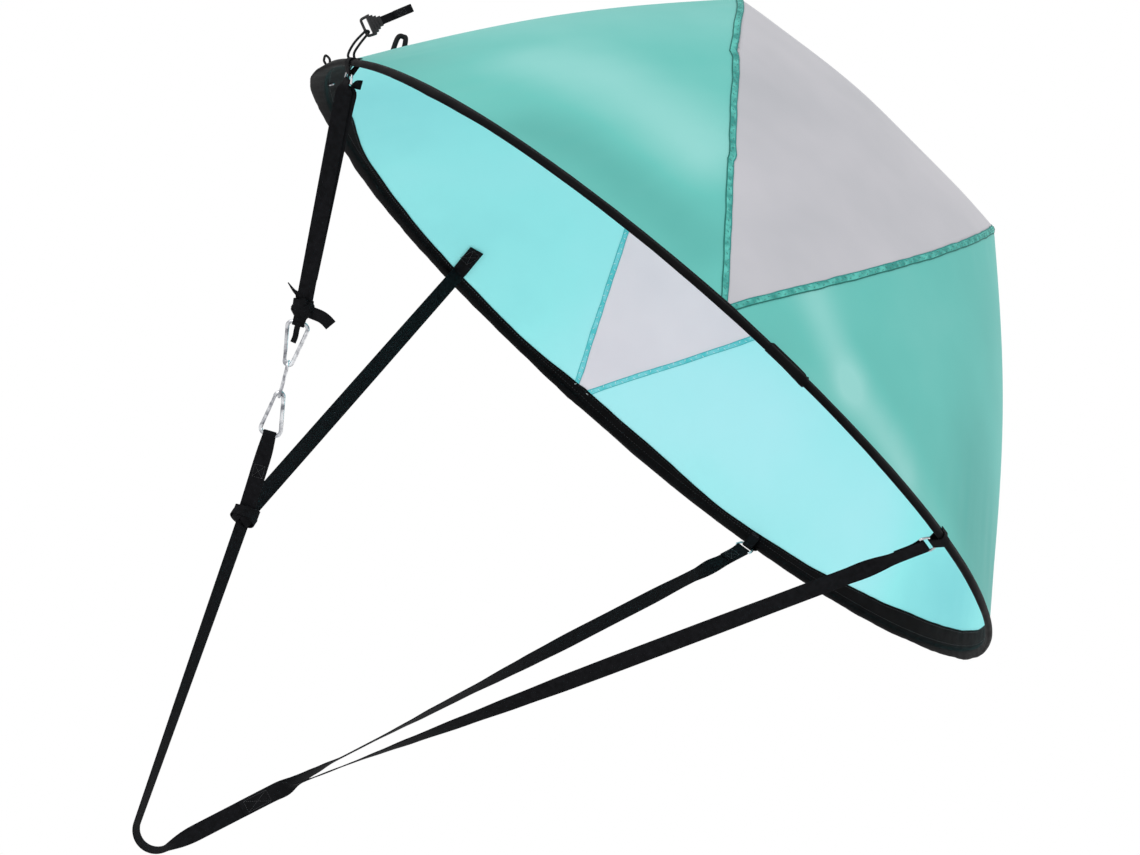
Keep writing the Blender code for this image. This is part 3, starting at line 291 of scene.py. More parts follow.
def rim_frame(deg):
    """Outward and along-the-rim directions at an angle round the hoop."""
    a = radians(deg)
    return Vector((cos(a), sin(a), 0.0)), Vector((-sin(a), cos(a), 0.0))


def lip(deg, reach):
    """Point, inward direction and outward normal of the cloth at a distance in from the hoop."""
    out, _ = rim_frame(deg)
    radius = HOOP_R
    probe = HOOP_R / 1000
    for k in range(LIP_STEPS + 1):
        here, inner = out * radius, out * (radius - probe)
        slope = atan2(cloth_height(inner.x, inner.y) - cloth_height(here.x, here.y), probe)
        if k < LIP_STEPS:
            radius -= reach / LIP_STEPS * cos(slope)
    here = out * radius
    inward = Vector((-out.x * cos(slope), -out.y * cos(slope), sin(slope)))
    normal = Vector((out.x * sin(slope), out.y * sin(slope), cos(slope)))
    return Vector((here.x, here.y, cloth_height(here.x, here.y))), inward, normal


def row_y(t):
    """A row's place from the near rim (t = 0) to the far one (t = 1). Rows lie closer at both."""
    return (HOOP_R - CLOTH_IN / 2) * sin(pi / 2 * (2 * t - 1))


def grid(columns, rows, place, flat):
    """A sheet of quads, bent by place(s, t) from a unit square. flat(s, t) maps it in metres."""
    shape = bmesh.new()
    bmesh.ops.create_grid(shape, x_segments=columns, y_segments=rows, size=0.5)
    layer = shape.loops.layers.uv.new("metres")
    for face in shape.faces:
        for corner in face.loops:
            corner[layer].uv = flat(corner.vert.co.x + 0.5, corner.vert.co.y + 0.5)
    for vertex in shape.verts:
        vertex.co = place(vertex.co.x + 0.5, vertex.co.y + 0.5)
    bmesh.ops.recalc_face_normals(shape, faces=shape.faces)
    return shape


def span(width, length):
    return lambda s, t: (s * width, t * length)


def face_out(shape):
    """Turns a sheet's faces to the bowl's outside."""
    if sum(face.normal.z * face.calc_area() for face in shape.faces) < 0:
        bmesh.ops.reverse_faces(shape, faces=shape.faces)
    return shape


def settle(made, body="sail", cad=None):
    """Sets an object on its body, and hides the CAD node that it stands for."""
    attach(made, body)
    if cad:
        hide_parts(cad)
    return made


def piece(name, shape, finishes, body="sail", cad=None):
    """An object of a bmesh that is drawn about the hoop's centre."""
    bmesh.ops.translate(shape, vec=HOOP_CENTRE, verts=shape.verts)
    mesh = mesh_of(name, shape)
    mesh.shade_smooth()
    for finish in finishes:
        mesh.materials.append(finish)
    return settle(put(name, mesh), body, cad)


def modify(made, kind, **settings):
    change = made.modifiers.new(kind.title(), kind)
    for name, value in settings.items():
        setattr(change, name, value)
    return made


def thicken(made, thickness, inner=0):
    return modify(made, "SOLIDIFY", thickness=thickness, offset=0.0, material_offset=inner)


def speckle(tree, scale, detail, **more):
    """Noise over the object's own coordinates."""
    spot = node(tree, "TexCoord", output="Object")
    return node(tree, "TexNoise", {"Vector": spot, "Scale": scale, "Detail": detail, **more})


def mottled(tree, scale, tints, low=0.32, high=0.70):
    """A colour that drifts slowly between two tints."""
    tone = node(tree, "ValToRGB", {0: speckle(tree, scale, 3.0, Roughness=0.55)})
    for stop, place, tint in zip(tone.node.color_ramp.elements, (low, high), tints):
        stop.position, stop.color = place, srgb(tint)
    return tone


def painted_shade_tone(tree, shade, tints):
    """A colour from dark to light, by the painted light and shade drawn on the cloth and a slow
    drift.
    """
    drawn = node(tree, "Attribute", output="Fac", attribute_name=shade)
    slow = speckle(tree, 4.0, 3.0, Roughness=0.55)
    drift = node(tree, "Math", {0: slow, 1: 0.5, 2: 0.25}, operation="MULTIPLY_ADD")
    level = node(tree, "Math", {0: drawn, 1: 0.5, 2: drift}, operation="MULTIPLY_ADD")
    tone = node(tree, "ValToRGB", {0: level})
    tone.node.color_ramp.elements.new(0.5)
    for stop, tint in zip(tone.node.color_ramp.elements, tints):
        stop.color = srgb(tint)
    return tone


def bump(tree, height, strength, distance):
    return node(tree, "Bump", {"Height": height, "Strength": strength, "Distance": distance})


def weave(tree, pitches, strength, distance):
    """Relief of a plain weave, its threads at two pitches in metres along the piece's UV map."""
    uv = node(tree, "UVMap", uv_map="metres")
    warp, weft = (
        node(tree, "TexWave", {"Vector": uv, "Scale": pi / 10 / pitch}, "Fac", wave_type="BANDS",
             bands_direction=way, wave_profile="SIN")
        for way, pitch in zip("XY", pitches)
    )
    height = node(tree, "Math", {0: warp, 1: weft}, operation="MULTIPLY")
    return bump(tree, height, strength, distance)


def taffeta(name, shade, tints, roughness, painted_glow):
    """Polyester taffeta with a coating: fine threads, a soft sheen, painted bands of light and
    shade, and a slow drift of tone.
    """
    made, tree = new_finish(name)
    relief = weave(tree, (TAFFETA_PITCH, TAFFETA_PITCH), 0.12, 0.0002)
    return dress(made, painted_shade_tone(tree, shade, tints), roughness, 0.2, relief, sheen=0.03, painted_glow=painted_glow)


def paint_light_and_shade(mesh, name, bands):
    """Writes the bands' painted light and painted shade on a cloth's points."""
    layer = mesh.attributes.new(name, "FLOAT", "POINT")
    for vertex, shade in zip(mesh.vertices, layer.data):
        here = ((vertex.co - HOOP_CENTRE) / HOOP_R).to_2d()
        shade.value = 0.0
        for x0, y0, x1, y1, width, level in bands:
            start, run = Vector((x0, y0)), Vector((x1 - x0, y1 - y0))
            share = min(max((here - start).dot(run) / run.length_squared, 0.0), 1.0)
            shade.value += level * ease((here - start - run * share).length, width)


def panel_place(side):
    """The panel's cloth from the rim (s = 0) to its seam (s = 1)."""
    near, far = (degrees(acos(seam_x(side, y) / HOOP_R)) for y in (-HOOP_R, HOOP_R))
    first = -near if side > 0 else 360.0 - near
    rows = range(PANEL_ROWS + 1)
    edge = [lip(first + (far - first) * k / PANEL_ROWS, CLOTH_IN)[0] for k in rows]

    def place(s, t):
        rim, y = edge[round(t * PANEL_ROWS)], row_y(t)
        return cloth_point(rim.x + (seam_x(side, y) - rim.x) * s, rim.y + (y - rim.y) * s)

    return place


def spread_sheet(name, cad, shape, finishes):
    """A stretched sheet of cloth or film, with its outside and inside finish."""
    area = sum(face.calc_area() for face in shape.faces)
    made = thicken(piece(name, shape, finishes, cad=cad), CLOTH_T, inner=1)
    return made


# Dark, middle and light teal: the middle is the cloth's own colour, and the dark and light ends are
# the painted shade and painted sheen of the bands
TEALS_OUT = ("#4FA69E", "#68C5BC", "#96DAD4")
# Inside, the teals are paler and bluer, painted light for the light that comes through the cloth,
# and the inside material adds a painted emission as well
TEALS_IN_PAINTED_LIT = ("#76C6CC", "#93E2E3", "#AFE4EB")
TAFFETA_OUT = taffeta("coated_taffeta_outside_painted_sheen_shade", "outer_painted_shade", TEALS_OUT, 0.55, 0.0)
TAFFETA_IN = taffeta("coated_taffeta_inside_painted_light", "inner_painted_shade", TEALS_IN_PAINTED_LIT, 0.60, 0.25)
for side, where in ((1, "right"), (-1, "left")):
    cloth = grid(PANEL_COLUMNS, PANEL_ROWS, panel_place(side), span(*PANEL_UV))
    panel = spread_sheet("cloth_panel_" + where, "panel_" + where, face_out(cloth),
                         (TAFFETA_OUT, TAFFETA_IN))
    paint_light_and_shade(panel.data, "outer_painted_shade", OUTER_PAINTED_BANDS)
    paint_light_and_shade(panel.data, "inner_painted_shade", INNER_PAINTED_BANDS)


# The window
# A gore of frosted soft film between the panels, so that the paddler sees ahead. It is calendered
# smooth, a little slack, with a dull shine. Outside it looks grey, and inside it is lit through:
# that light is painted, as paler tints and a painted emission.
WINDOW_COLUMNS = 40
WINDOW_UV = (0.4, 1.3)


def film(name, tints, painted_glow):
    """Frosted soft film: milky, with a dull shine and a fine grain. Its emission, where one is
    given, is painted light.
    """
    made, tree = new_finish(name)
    relief = bump(tree, speckle(tree, 900.0, 2.0), 0.05, 0.0002)
    return dress(made, mottled(tree, 4.5, tints, 0.35, 0.68), 0.45, 0.35, relief, painted_glow=painted_glow)


def window_place(s, t):
    y = row_y(t)
    return cloth_point(window_middle(y) + window_half(y) * (2 * s - 1), y)


FILM_OUT = film("frosted_film_outside", ("#BABBC1", "#C8C7CD"), 0.0)
# Inside, the film's paler tints and its emission are painted light, for the light that comes
# through
FILM_IN = film("frosted_film_inside_painted_light", ("#D0CAD2", "#DAD3DA"), 0.25)
clear = grid(WINDOW_COLUMNS, PANEL_ROWS, window_place, span(*WINDOW_UV))
spread_sheet("window_film", "window", face_out(clear), (FILM_OUT, FILM_IN))


# The seam bindings
# A folded teal tape covers each seam outside, and a brighter one covers it inside. Each is sewn on
# with a zigzag, which puckers it a little.
BINDING_W = 0.0094
BINDING_IN_W = 0.0075
BINDING_T = 0.0005
BINDING_LAY = 0.0007
BINDING_CREASE = 0.0015
BINDING_WANDER = 0.0012
BINDING_PINCH = 0.22
BINDING_REACH_SHARE = 0.996
SEAM_STITCH_COUNT = 190
SEAM_STITCH_T = 0.0008
SEAM_STITCH_OFF = 0.0013
SEAM_STITCH_REACH_SHARE = 0.985
# The left seam's tape was started again twice, so it steps sideways, by a distance at each share of
# the hoop's radius
SEAM_STEPS = (
    (-1.0, 0.0), (-0.90, 0.0012), (-0.72, 0.0016), (-0.705, -0.0014), (-0.66, 0.0), (-0.45, 0.0006),
    (-0.435, 0.0004), (-0.415, 0.0044), (-0.30, 0.0026), (-0.20, 0.0), (1.0, 0.0),
)


def between(table, value):
    """Read off a table of (place, value) pairs, eased from each pair to the next."""
    for (start, low), (end, high) in zip(table, table[1:]):
        if value <= end:
            t = max((value - start) / (end - start), 0.0)
            return low + (high - low) * t * t * (3 - 2 * t)
    return table[-1][1]


def binding(name, tints, edges):
    """Ribbed polyester tape. Along its two folded edges, lines of darker colour are painted shade.
    """
    made, tree = new_finish(name)
    body = mottled(tree, 75.0, tints, 0.38, 0.62)
    across = node(tree, "SeparateXYZ", {0: node(tree, "UVMap", uv_map="metres")})
    for order, edge, tint in zip(("LESS_THAN", "GREATER_THAN"), (0.16, 0.84), edges):
        line = node(tree, "Math", {0: across, 1: edge * BINDING_W}, operation=order)
        body = node(tree, "Mix", {0: line, "A": body, "B": srgb(tint)}, "Result", data_type="RGBA")
    return dress(made, body, 0.62, 0.25, weave(tree, (0.0012, 0.0012), 0.35, 0.0003))


def thread(name, tints):
    """Bonded sewing thread, whose two plies twist round each other. Its colour drifts a little
    between two tints.
    """
    made, tree = new_finish(name)
    return dress(made, mottled(tree, 1500.0, tints), 0.5, sheen=0.2)


def stitches(name, places, size, finish, body="sail"):
    """A small rounded thread of a length and thickness at each (point, direction, normal)."""
    bead = bmesh.new()
    bmesh.ops.create_icosphere(bead, subdivisions=1, radius=0.5)
    one = mesh_of("stitch", bead)
    row = bmesh.new()
    for point, along, normal in places:
        turn = Matrix((along, normal.cross(along).normalized(), normal)).transposed().to_4x4()
        shrink = Matrix.Diagonal((size[0], size[1], size[1], 1.0))
        placed = one.copy()
        placed.transform(Matrix.Translation(point) @ turn @ shrink)
        row.from_mesh(placed)
        bpy.data.meshes.remove(placed)
    bpy.data.meshes.remove(one)
    return piece(name, row, (finish,), body)


def seam_line(side, y, across, lift):
    """A point and its normal across the binding: on the panel where across is positive."""
    x = seam_x(side, y)
    on_panel, on_window = cloth_normal(x, y, side * 0.001), cloth_normal(x, y, -side * 0.001)
    normal = on_panel if across > 0 else on_window
    x += side * across * normal.z / hypot(normal.x, normal.z)
    share = min(abs(across) / BINDING_CREASE, 1.0)
    up = (on_panel + on_window).normalized().lerp(normal, share).normalized()
    return cloth_point(x, y) + up * lift, up


def seam_place(side, width, lay):
    def place(s, t):
        y = BINDING_REACH_SHARE * row_y(t)
        jog = grain(BINDING_WANDER, side * 3.0, y * 24, 1.0)
        if side < 0:
            jog += between(SEAM_STEPS, y / HOOP_R)
        pinch = 1 + grain(BINDING_PINCH, side * 5.0, y * 60, 4.0)
        return seam_line(side, y, (0.5 - s) * width * pinch + jog, lay)[0]

    return place


def zigzag(side, length, slant, lift):
    """Places of a seam's stitches, which slant to and fro and lie unevenly."""
    places = []
    for k in range(SEAM_STITCH_COUNT):
        y = SEAM_STITCH_REACH_SHARE * HOOP_R * (2 * (k + 0.5) / SEAM_STITCH_COUNT - 1)
        uneven = grain(1.0, k * 1.7, side, length * 900)
        sign = 1 if k % 2 else -1
        turn = radians(sign * slant * (1 + 0.5 * uneven))
        off = sign * SEAM_STITCH_OFF + BINDING_WANDER * uneven
        spot, up = seam_line(side, y, off, lift)
        ahead = (seam_line(side, y + 0.002, off, lift)[0] - spot).normalized()
        places.append((spot, ahead * cos(turn) + up.cross(ahead) * sin(turn), up))
    return places


# The last two colours of each tape are the painted shade along its folded edges
BINDING_OUT = binding("seam_tape_outside_painted_edge_shade", ("#33948B", "#5FC6BA"), ("#1F6F66", "#2A8C87"))
BINDING_IN = binding("seam_tape_inside_painted_edge_shade", ("#5FD6DC", "#8AE6EE"), ("#58C6CC", "#58C6CC"))
SEAM_THREAD_IN = thread("white_seam_thread", ("#E4F4F6", "#F6FBFC"))
SEAM_THREAD_OUT = thread("teal_seam_thread", ("#1C665E", "#2F877D"))
# Each layer's side of the cloth, its tape's width and finish, and its thread, stitch and slant
SEAM_LAYERS = (
    ("outside", 1, BINDING_W, BINDING_OUT, SEAM_THREAD_OUT, 0.0046, 24.0),
    ("inside", -1, BINDING_IN_W, BINDING_IN, SEAM_THREAD_IN, 0.0043, 50.0),
)
for side, where in ((1, "right"), (-1, "left")):
    for layer, facing, width, finish, *_ in SEAM_LAYERS:
        place = seam_place(side, width, BINDING_LAY * facing)
        strip = face_out(grid(6, PANEL_ROWS, place, span(BINDING_W, PANEL_UV[1])))
        cad = "seam_" + where if facing > 0 else None
        made = piece(f"seam_binding_{layer}_{where}", strip, (finish,), cad=cad)
        thicken(made, BINDING_T)
    for layer, facing, _, _, yarn, length, slant in SEAM_LAYERS:
        places = zigzag(side, length, slant, (BINDING_LAY + SEAM_STITCH_T / 2) * facing)
        size = (length, SEAM_STITCH_T)
        stitches(f"seam_stitches_{layer}_{where}", places, size, yarn)


# The hoop and its sleeve
# The hoop is a sprung steel rod whose ends meet in a brass ferrule, out of sight. Black woven tape
# is folded over it, with a short lap outside and a wide one inside, and is sewn through the cloth.
TAPE_T = 0.0005
TAPE_LAY = 0.0010
CASING_R = 0.0041
CASING_GAP_DEG = 18
OUTER_LAP = 0.0095
OUTER_LAP_FOLD = OUTER_LAP * 0.8
SLEEVE_COLUMNS = 480
SLEEVE_STITCH_COUNT = 760
SLEEVE_STITCH = (0.0030, 0.0005)
SLEEVE_STITCH_IN = 0.003
THREAD_LIFT = 0.0003
JOIN_DEG = 281.0
# The inner lap's width round the rim, in degrees and metres
BAND_WIDTHS = (
    (0, 0.0275), (24, 0.030), (34, 0.027), (50, 0.019), (64, 0.015), (80, 0.0225), (90, 0.021),
    (104, 0.0125), (128, 0.0118), (144, 0.013), (160, 0.024), (172, 0.034), (184, 0.036),
    (200, 0.030), (270, 0.020), (330, 0.024), (360, 0.0275),
)
# Where the casing is slack: the middle's angle, its width before and after, how far it stands off
SLEEVE_BULGES = (
    (181.0, 20.0, 7.5, 0.0120), (130.0, 24.0, 22.0, 0.0045), (220.0, 8.0, 10.0, 0.0045),
    (75.0, 26.0, 26.0, 0.0035), (0.0, 12.0, 10.0, 0.0030), (328.0, 6.0, 8.0, 0.0030),
    (246.0, 9.0, 9.0, 0.0012), (300.0, 6.0, 6.0, 0.0014),
)


def band_width(deg):
    """The inner lap's width, widest at the sail's left and right. Its edge wanders a little."""
    a = radians(deg)
    return between(BAND_WIDTHS, deg % 360.0) + grain(0.0009, cos(a) * 11, sin(a) * 11, 3.0)


def loose(deg):
    """How far the casing stands off the hoop outwards, where the tape is slack."""
    total = 0.0
    for middle, before, after, reach in SLEEVE_BULGES:
        off = (deg - middle + 180.0) % 360.0 - 180.0
        total += reach * ease(off, before if off < 0 else after)
    spot = Vector((cos(radians(deg)), sin(radians(deg)), 0.1))
    return total + 0.0011 * (1 + noise.noise(spot * 15) + 0.5 * noise.noise(spot * 44))


def lip_on(deg, reach, lift):
    """A point a lift away from the slack cloth, with the cloth's inward direction and normal."""
    point, inward, normal = lip(deg, reach)
    point.z += slack(point.x, point.y)
    return point + normal * lift, inward, normal


def casing_angle(share):
    """The angle round the hoop, from the outer lap (0) to the inner one (1)."""
    return radians(CASING_GAP_DEG + (360 - 2 * CASING_GAP_DEG) * share)


def sleeve_section(deg):
    """Points across the tape: outer lap's edge, round the casing, to the inner lap's edge."""
    line = [lip_on(deg, reach, TAPE_LAY)[0] for reach in (OUTER_LAP, OUTER_LAP_FOLD)]
    start, inward, normal = lip(deg, 0.0)
    for k in range(13):
        a = casing_angle(k / 12)
        reach = CASING_R + loose(deg) * max(-cos(a), 0.0)
        line.append(start + inward * cos(a) * reach + normal * sin(a) * CASING_R)
    width = band_width(deg) - OUTER_LAP_FOLD
    reaches = [OUTER_LAP_FOLD + width * k / 10 for k in range(1, 11)]
    return line + [lip_on(deg, reach, -TAPE_LAY)[0] for reach in reaches]


def tape(name, tints):
    """Black polyester tape, close-woven and a little shiny, with dull creases where it gathers."""
    made, tree = new_finish(name)
    relief = weave(tree, (0.0014, 0.0014), 0.30, 0.0002)
    worn = speckle(tree, 55.0, 4.0)
    rub = node(tree, "MapRange", {"Value": worn, "To Min": 0.48, "To Max": 0.72})
    return dress(made, mottled(tree, 38.0, tints), rub, 0.07, relief)


BLACK_TAPE = tape("black_woven_tape", ("#030304", "#09090B"))
first_deg = JOIN_DEG + 0.15
turns = [first_deg + 359.7 * k / SLEEVE_COLUMNS for k in range(SLEEVE_COLUMNS + 1)]
sections = [sleeve_section(deg) for deg in turns]
folds = len(sections[0]) - 1
shape = grid(folds, SLEEVE_COLUMNS,
             lambda s, t: sections[round(t * SLEEVE_COLUMNS)][round(s * folds)],
             span(0.05, 2 * pi * HOOP_R))
thicken(piece("hoop_sleeve", shape, (BLACK_TAPE,), cad="rim_sleeve"), TAPE_T)

SLEEVE_THREAD = thread("charcoal_sleeve_thread", ("#1C1C20", "#2B2B30"))
places = []
for k in range(SLEEVE_STITCH_COUNT):
    deg = 360.0 * k / SLEEVE_STITCH_COUNT
    edge = band_width(deg) - SLEEVE_STITCH_IN
    for reach, facing in ((OUTER_LAP * 0.78, 1), (OUTER_LAP * 0.9, -1), (edge, -1)):
        spot, _, up = lip_on(deg, reach, (TAPE_LAY + THREAD_LIFT) * facing)
        places.append((spot, rim_frame(deg)[1], up))
stitches("sleeve_stitches", places, SLEEVE_STITCH, SLEEVE_THREAD)


# The lap over the sleeve's join
# A short turn of the same tape, folded over the sleeve where its ends meet. Its free end flares.
LAP_FROM_DEG = 276.2
LAP_TO_DEG = 282.4
LAP_REACH = 0.012
LAP_FLARE = 0.0042
LAP_T = 0.0006
LAP_OVER = 0.0009
LAP_FLAP = 0.2
LAP_FLARE_FROM = 0.45
LAP_ROUND_FROM = 0.8
LAP_ROUND_IN = 0.10


def lap_place(s, t):
    """Across the lap (s) it has two flaps with the casing between them."""
    deg = LAP_FROM_DEG + (LAP_TO_DEG - LAP_FROM_DEG) * t
    start, inward, normal = lip(deg, 0.0)
    flare = LAP_FLARE * max(t - LAP_FLARE_FROM, 0.0) / (1 - LAP_FLARE_FROM)
    radius = CASING_R + LAP_OVER + flare * (0.6 + 0.4 * sin(s * 17))
    # The corners of both ends are rounded
    near_end = max(abs(2 * t - 1) - LAP_ROUND_FROM, 0.0) / (1 - LAP_ROUND_FROM)
    inset = LAP_ROUND_IN * (1 - sqrt(max(1 - near_end**2, 0.0)))
    s = inset + (1 - 2 * inset) * s
    if LAP_FLAP <= s <= 1 - LAP_FLAP:
        a = casing_angle((s - LAP_FLAP) / (1 - 2 * LAP_FLAP))
        return start + inward * cos(a) * radius + normal * sin(a) * radius
    share = max(LAP_FLAP - s, s - 1 + LAP_FLAP) / LAP_FLAP
    lift = (TAPE_LAY + LAP_OVER) * (1 if s < 0.5 else -1)
    return lip_on(deg, CASING_R + (LAP_REACH - CASING_R) * share, lift)[0]


shape = grid(28, 16, lap_place, span(0.045, 0.05))
thicken(piece("sleeve_lap_tape", shape, (BLACK_TAPE,), cad="sleeve_lap"), LAP_T)


# The rim rings and their tabs
# Three rings of bent steel wire hang from the hoop. A tab of webbing holds each: sewn to the
# sleeve's inside, it runs through the ring and round the hoop, and ends on the short lap outside.
WEB_W = 0.020
WEB_T = 0.0014
TAB_W = 0.015
TAB_INNER = 0.024
TAB_FOOT = 0.0105
TAB_OUTER = 0.0115
TAB_OVER = 0.0006
RING_WIRE_R = 0.0015
RING_TOP_HALF = 0.0100
RING_BASE_HALF = 0.0128
RING_H = 0.011
RING_CORNER_R = 0.0032
RING_DROP = 0.0125
SNUG = 0.0003
# A strap's distance from the next one that lies on it, from the cloth's tape and from a ring's wire
LAYER = WEB_T + SNUG
TAPE_LAYER = TAPE_LAY + TAPE_T / 2 + WEB_T / 2 + SNUG
RING_WRAP_R = RING_WIRE_R + SNUG + WEB_T / 2
WEB_STITCH_PITCH = 0.0024
WEB_STITCH_LIFT = 0.0002
CHAIN_TOP = Vector((-0.3563, -0.033, -0.2515))
MERGE = Vector((0.0, 0.0, -0.697))


def square_to(direction, along):
    return (direction - along * direction.dot(along)).normalized()


def toward(direction, aim):
    """The direction, or its reverse where that lies nearer to the aim."""
    return direction if direction.dot(aim) > 0 else -direction


def arc(centre, u, v, radius, start_deg, end_deg, count):
    """Points on an arc in the plane of u and v, angles from u towards v."""
    angles = [radians(start_deg + (end_deg - start_deg) * k / (count - 1)) for k in range(count)]
    return [centre + (u * cos(a) + v * sin(a)) * radius for a in angles]


def round_corner(corner, before, after, steps):
    """A curve past a corner, from the point before it to the point after it."""
    shares = [k / steps for k in range(steps + 1)]
    return [before * (1 - t) ** 2 + corner * 2 * t * (1 - t) + after * t**2 for t in shares]


def eased(points, radius, steps=5):
    """The same line with each inner corner rounded, where it has room."""
    line = [points[0]]
    for before, corner, after in zip(points, points[1:], points[2:]):
        back, on = before - corner, after - corner
        room = min(back.length, on.length) * 0.45
        cut = min(radius / max(tan(back.angle(on) / 2), 0.01), room)
        ends = [corner + way.normalized() * cut for way in (back, on)]
        line += round_corner(corner, *ends, steps)
    return [*line, points[-1]]


def spline(points, count):
    """Even steps on a Catmull-Rom curve through the points."""
    line = []
    ends = [points[0] * 2 - points[1], *points, points[-1] * 2 - points[-2]]
    spans = len(points) - 1
    for k in range(count + 1):
        s = min(int(spans * k / count), spans - 1)
        t = spans * k / count - s
        a, b, c, d = ends[s : s + 4]
        slow, fast = a * 2 - b * 5 + c * 4 - d, b * 3 - a - c * 3 + d
        line.append((b * 2 + (c - a) * t + slow * t**2 + fast * t**3) / 2)
    return line


def tangents(line):
    ends = [line[0] * 2 - line[1], *line, line[-1] * 2 - line[-2]]
    return [(c - a).normalized() for a, c in zip(ends, ends[2:])]


def way_gone(line):
    """How far along the line each of its points is."""
    gone = [0.0]
    for before, after in zip(line, line[1:]):
        gone.append(gone[-1] + (after - before).length)
    return gone


def ribbon(name, line, across, width, thickness=WEB_T, body="sail", cad=None):
    """A flat strap along a line. across and width are one for all, or one for each point."""
    spread = across if isinstance(across, list) else [across] * len(line)
    widths = width if isinstance(width, list) else [width] * len(line)
    last, gone, sides = len(line) - 1, way_gone(line), []
    for aim, along in zip(spread, tangents(line)):
        side = square_to(aim, along)
        sides.append(toward(side, sides[-1]) if sides else side)

    def place(s, t):
        row = round(t * last)
        return line[row] + sides[row] * ((s - 0.5) * widths[row])

    def flat(s, t):
        row = round(t * last)
        return s * widths[row], gone[row]

    shape = grid(6, last, place, flat)
    made = piece(name, shape, (BLACK_WEBBING,), body, cad)
    modify(made, "SUBSURF", levels=1, render_levels=1, boundary_smooth="PRESERVE_CORNERS")
    thicken(made, thickness)
    return modify(made, "BEVEL", width=thickness * 0.3, segments=2, limit_method="ANGLE",
                  angle_limit=radians(50))


def wire(name, points, radius, finish, body="sail", cad=None, cyclic=False):
    """A round wire or cord through points that are given about the hoop's centre."""
    data = bpy.data.curves.new(name, "CURVE")
    data.dimensions = "3D"
    data.bevel_depth, data.bevel_resolution, data.use_fill_caps = radius, 5, True
    data.materials.append(finish)
    line = data.splines.new("POLY")
    line.points.add(len(points) - 1)
    for spot, point in zip(line.points, points):
        spot.co = (*(HOOP_CENTRE + point), 1.0)
    line.use_cyclic_u, line.use_smooth = cyclic, True
    return settle(put(name, data), body, cad)


def webbing(name, tints):
    """Polyester webbing: plump warp yarns under a finer weft, matt, and a little dusty."""
    made, tree = new_finish(name)
    relief = weave(tree, (0.0018, 0.0013), 0.20, 0.0002)
    return dress(made, mottled(tree, 160.0, tints, 0.30, 0.72), 0.75, 0.08, relief)


def plated(name, tints, roughness):
    """Drawn metal: bright, with faint marks, and duller where fingers and grit have rubbed it."""
    made, tree = new_finish(name)
    marks = speckle(tree, 300.0, 2.0)
    rub = node(tree, "MapRange", {"Value": marks, "To Min": roughness, "To Max": roughness * 2})
    relief = bump(tree, marks, 0.04, 0.0001)
    return dress(made, mottled(tree, 90.0, tints, 0.36, 0.60), rub, relief=relief, metal=1.0)


def tack(name, centre, along, across, normal, box, yarn=(0.0022, 0.0006), body="sail"):
    """Sews a box with a cross in it. The box has a length and a width, and so has the yarn."""
    u, v = along * box[0] / 2, across * box[1] / 2
    corners = [centre - u - v, centre + u - v, centre + u + v, centre - u + v]
    places = []
    for start, end in [*zip(corners, corners[1:] + corners[:1]), corners[::2], corners[1::2]]:
        count = max(round((end - start).length / WEB_STITCH_PITCH), 1)
        way = (end - start).normalized()
        places += [(start.lerp(end, (k + 0.5) / count), way, normal) for k in range(count)]
    stitches(name, places, yarn, WEB_THREAD, body)


BLACK_WEBBING = webbing("black_webbing", ("#09090B", "#141417"))
NICKEL = plated("nickel_plated_steel", ("#85868D", "#EEEFF2"), 0.07)
WEB_THREAD = thread("black_webbing_thread", ("#1A1A1E", "#2A2A30"))


def ring_outline():
    """A narrow top wire, a wide base wire and half-round corners, as (across, down)."""
    half, base = RING_TOP_HALF, RING_BASE_HALF
    spots = [Vector(spot) for spot in ((-half, 0), (half, 0), (base, RING_H), (-base, RING_H))]
    line = []
    for k, corner in enumerate(spots):
        sides = [(spots[j % 4] - corner).normalized() * RING_CORNER_R for j in (k - 1, k + 1)]
        line += round_corner(corner, *(corner + side for side in sides), 8)
    return line


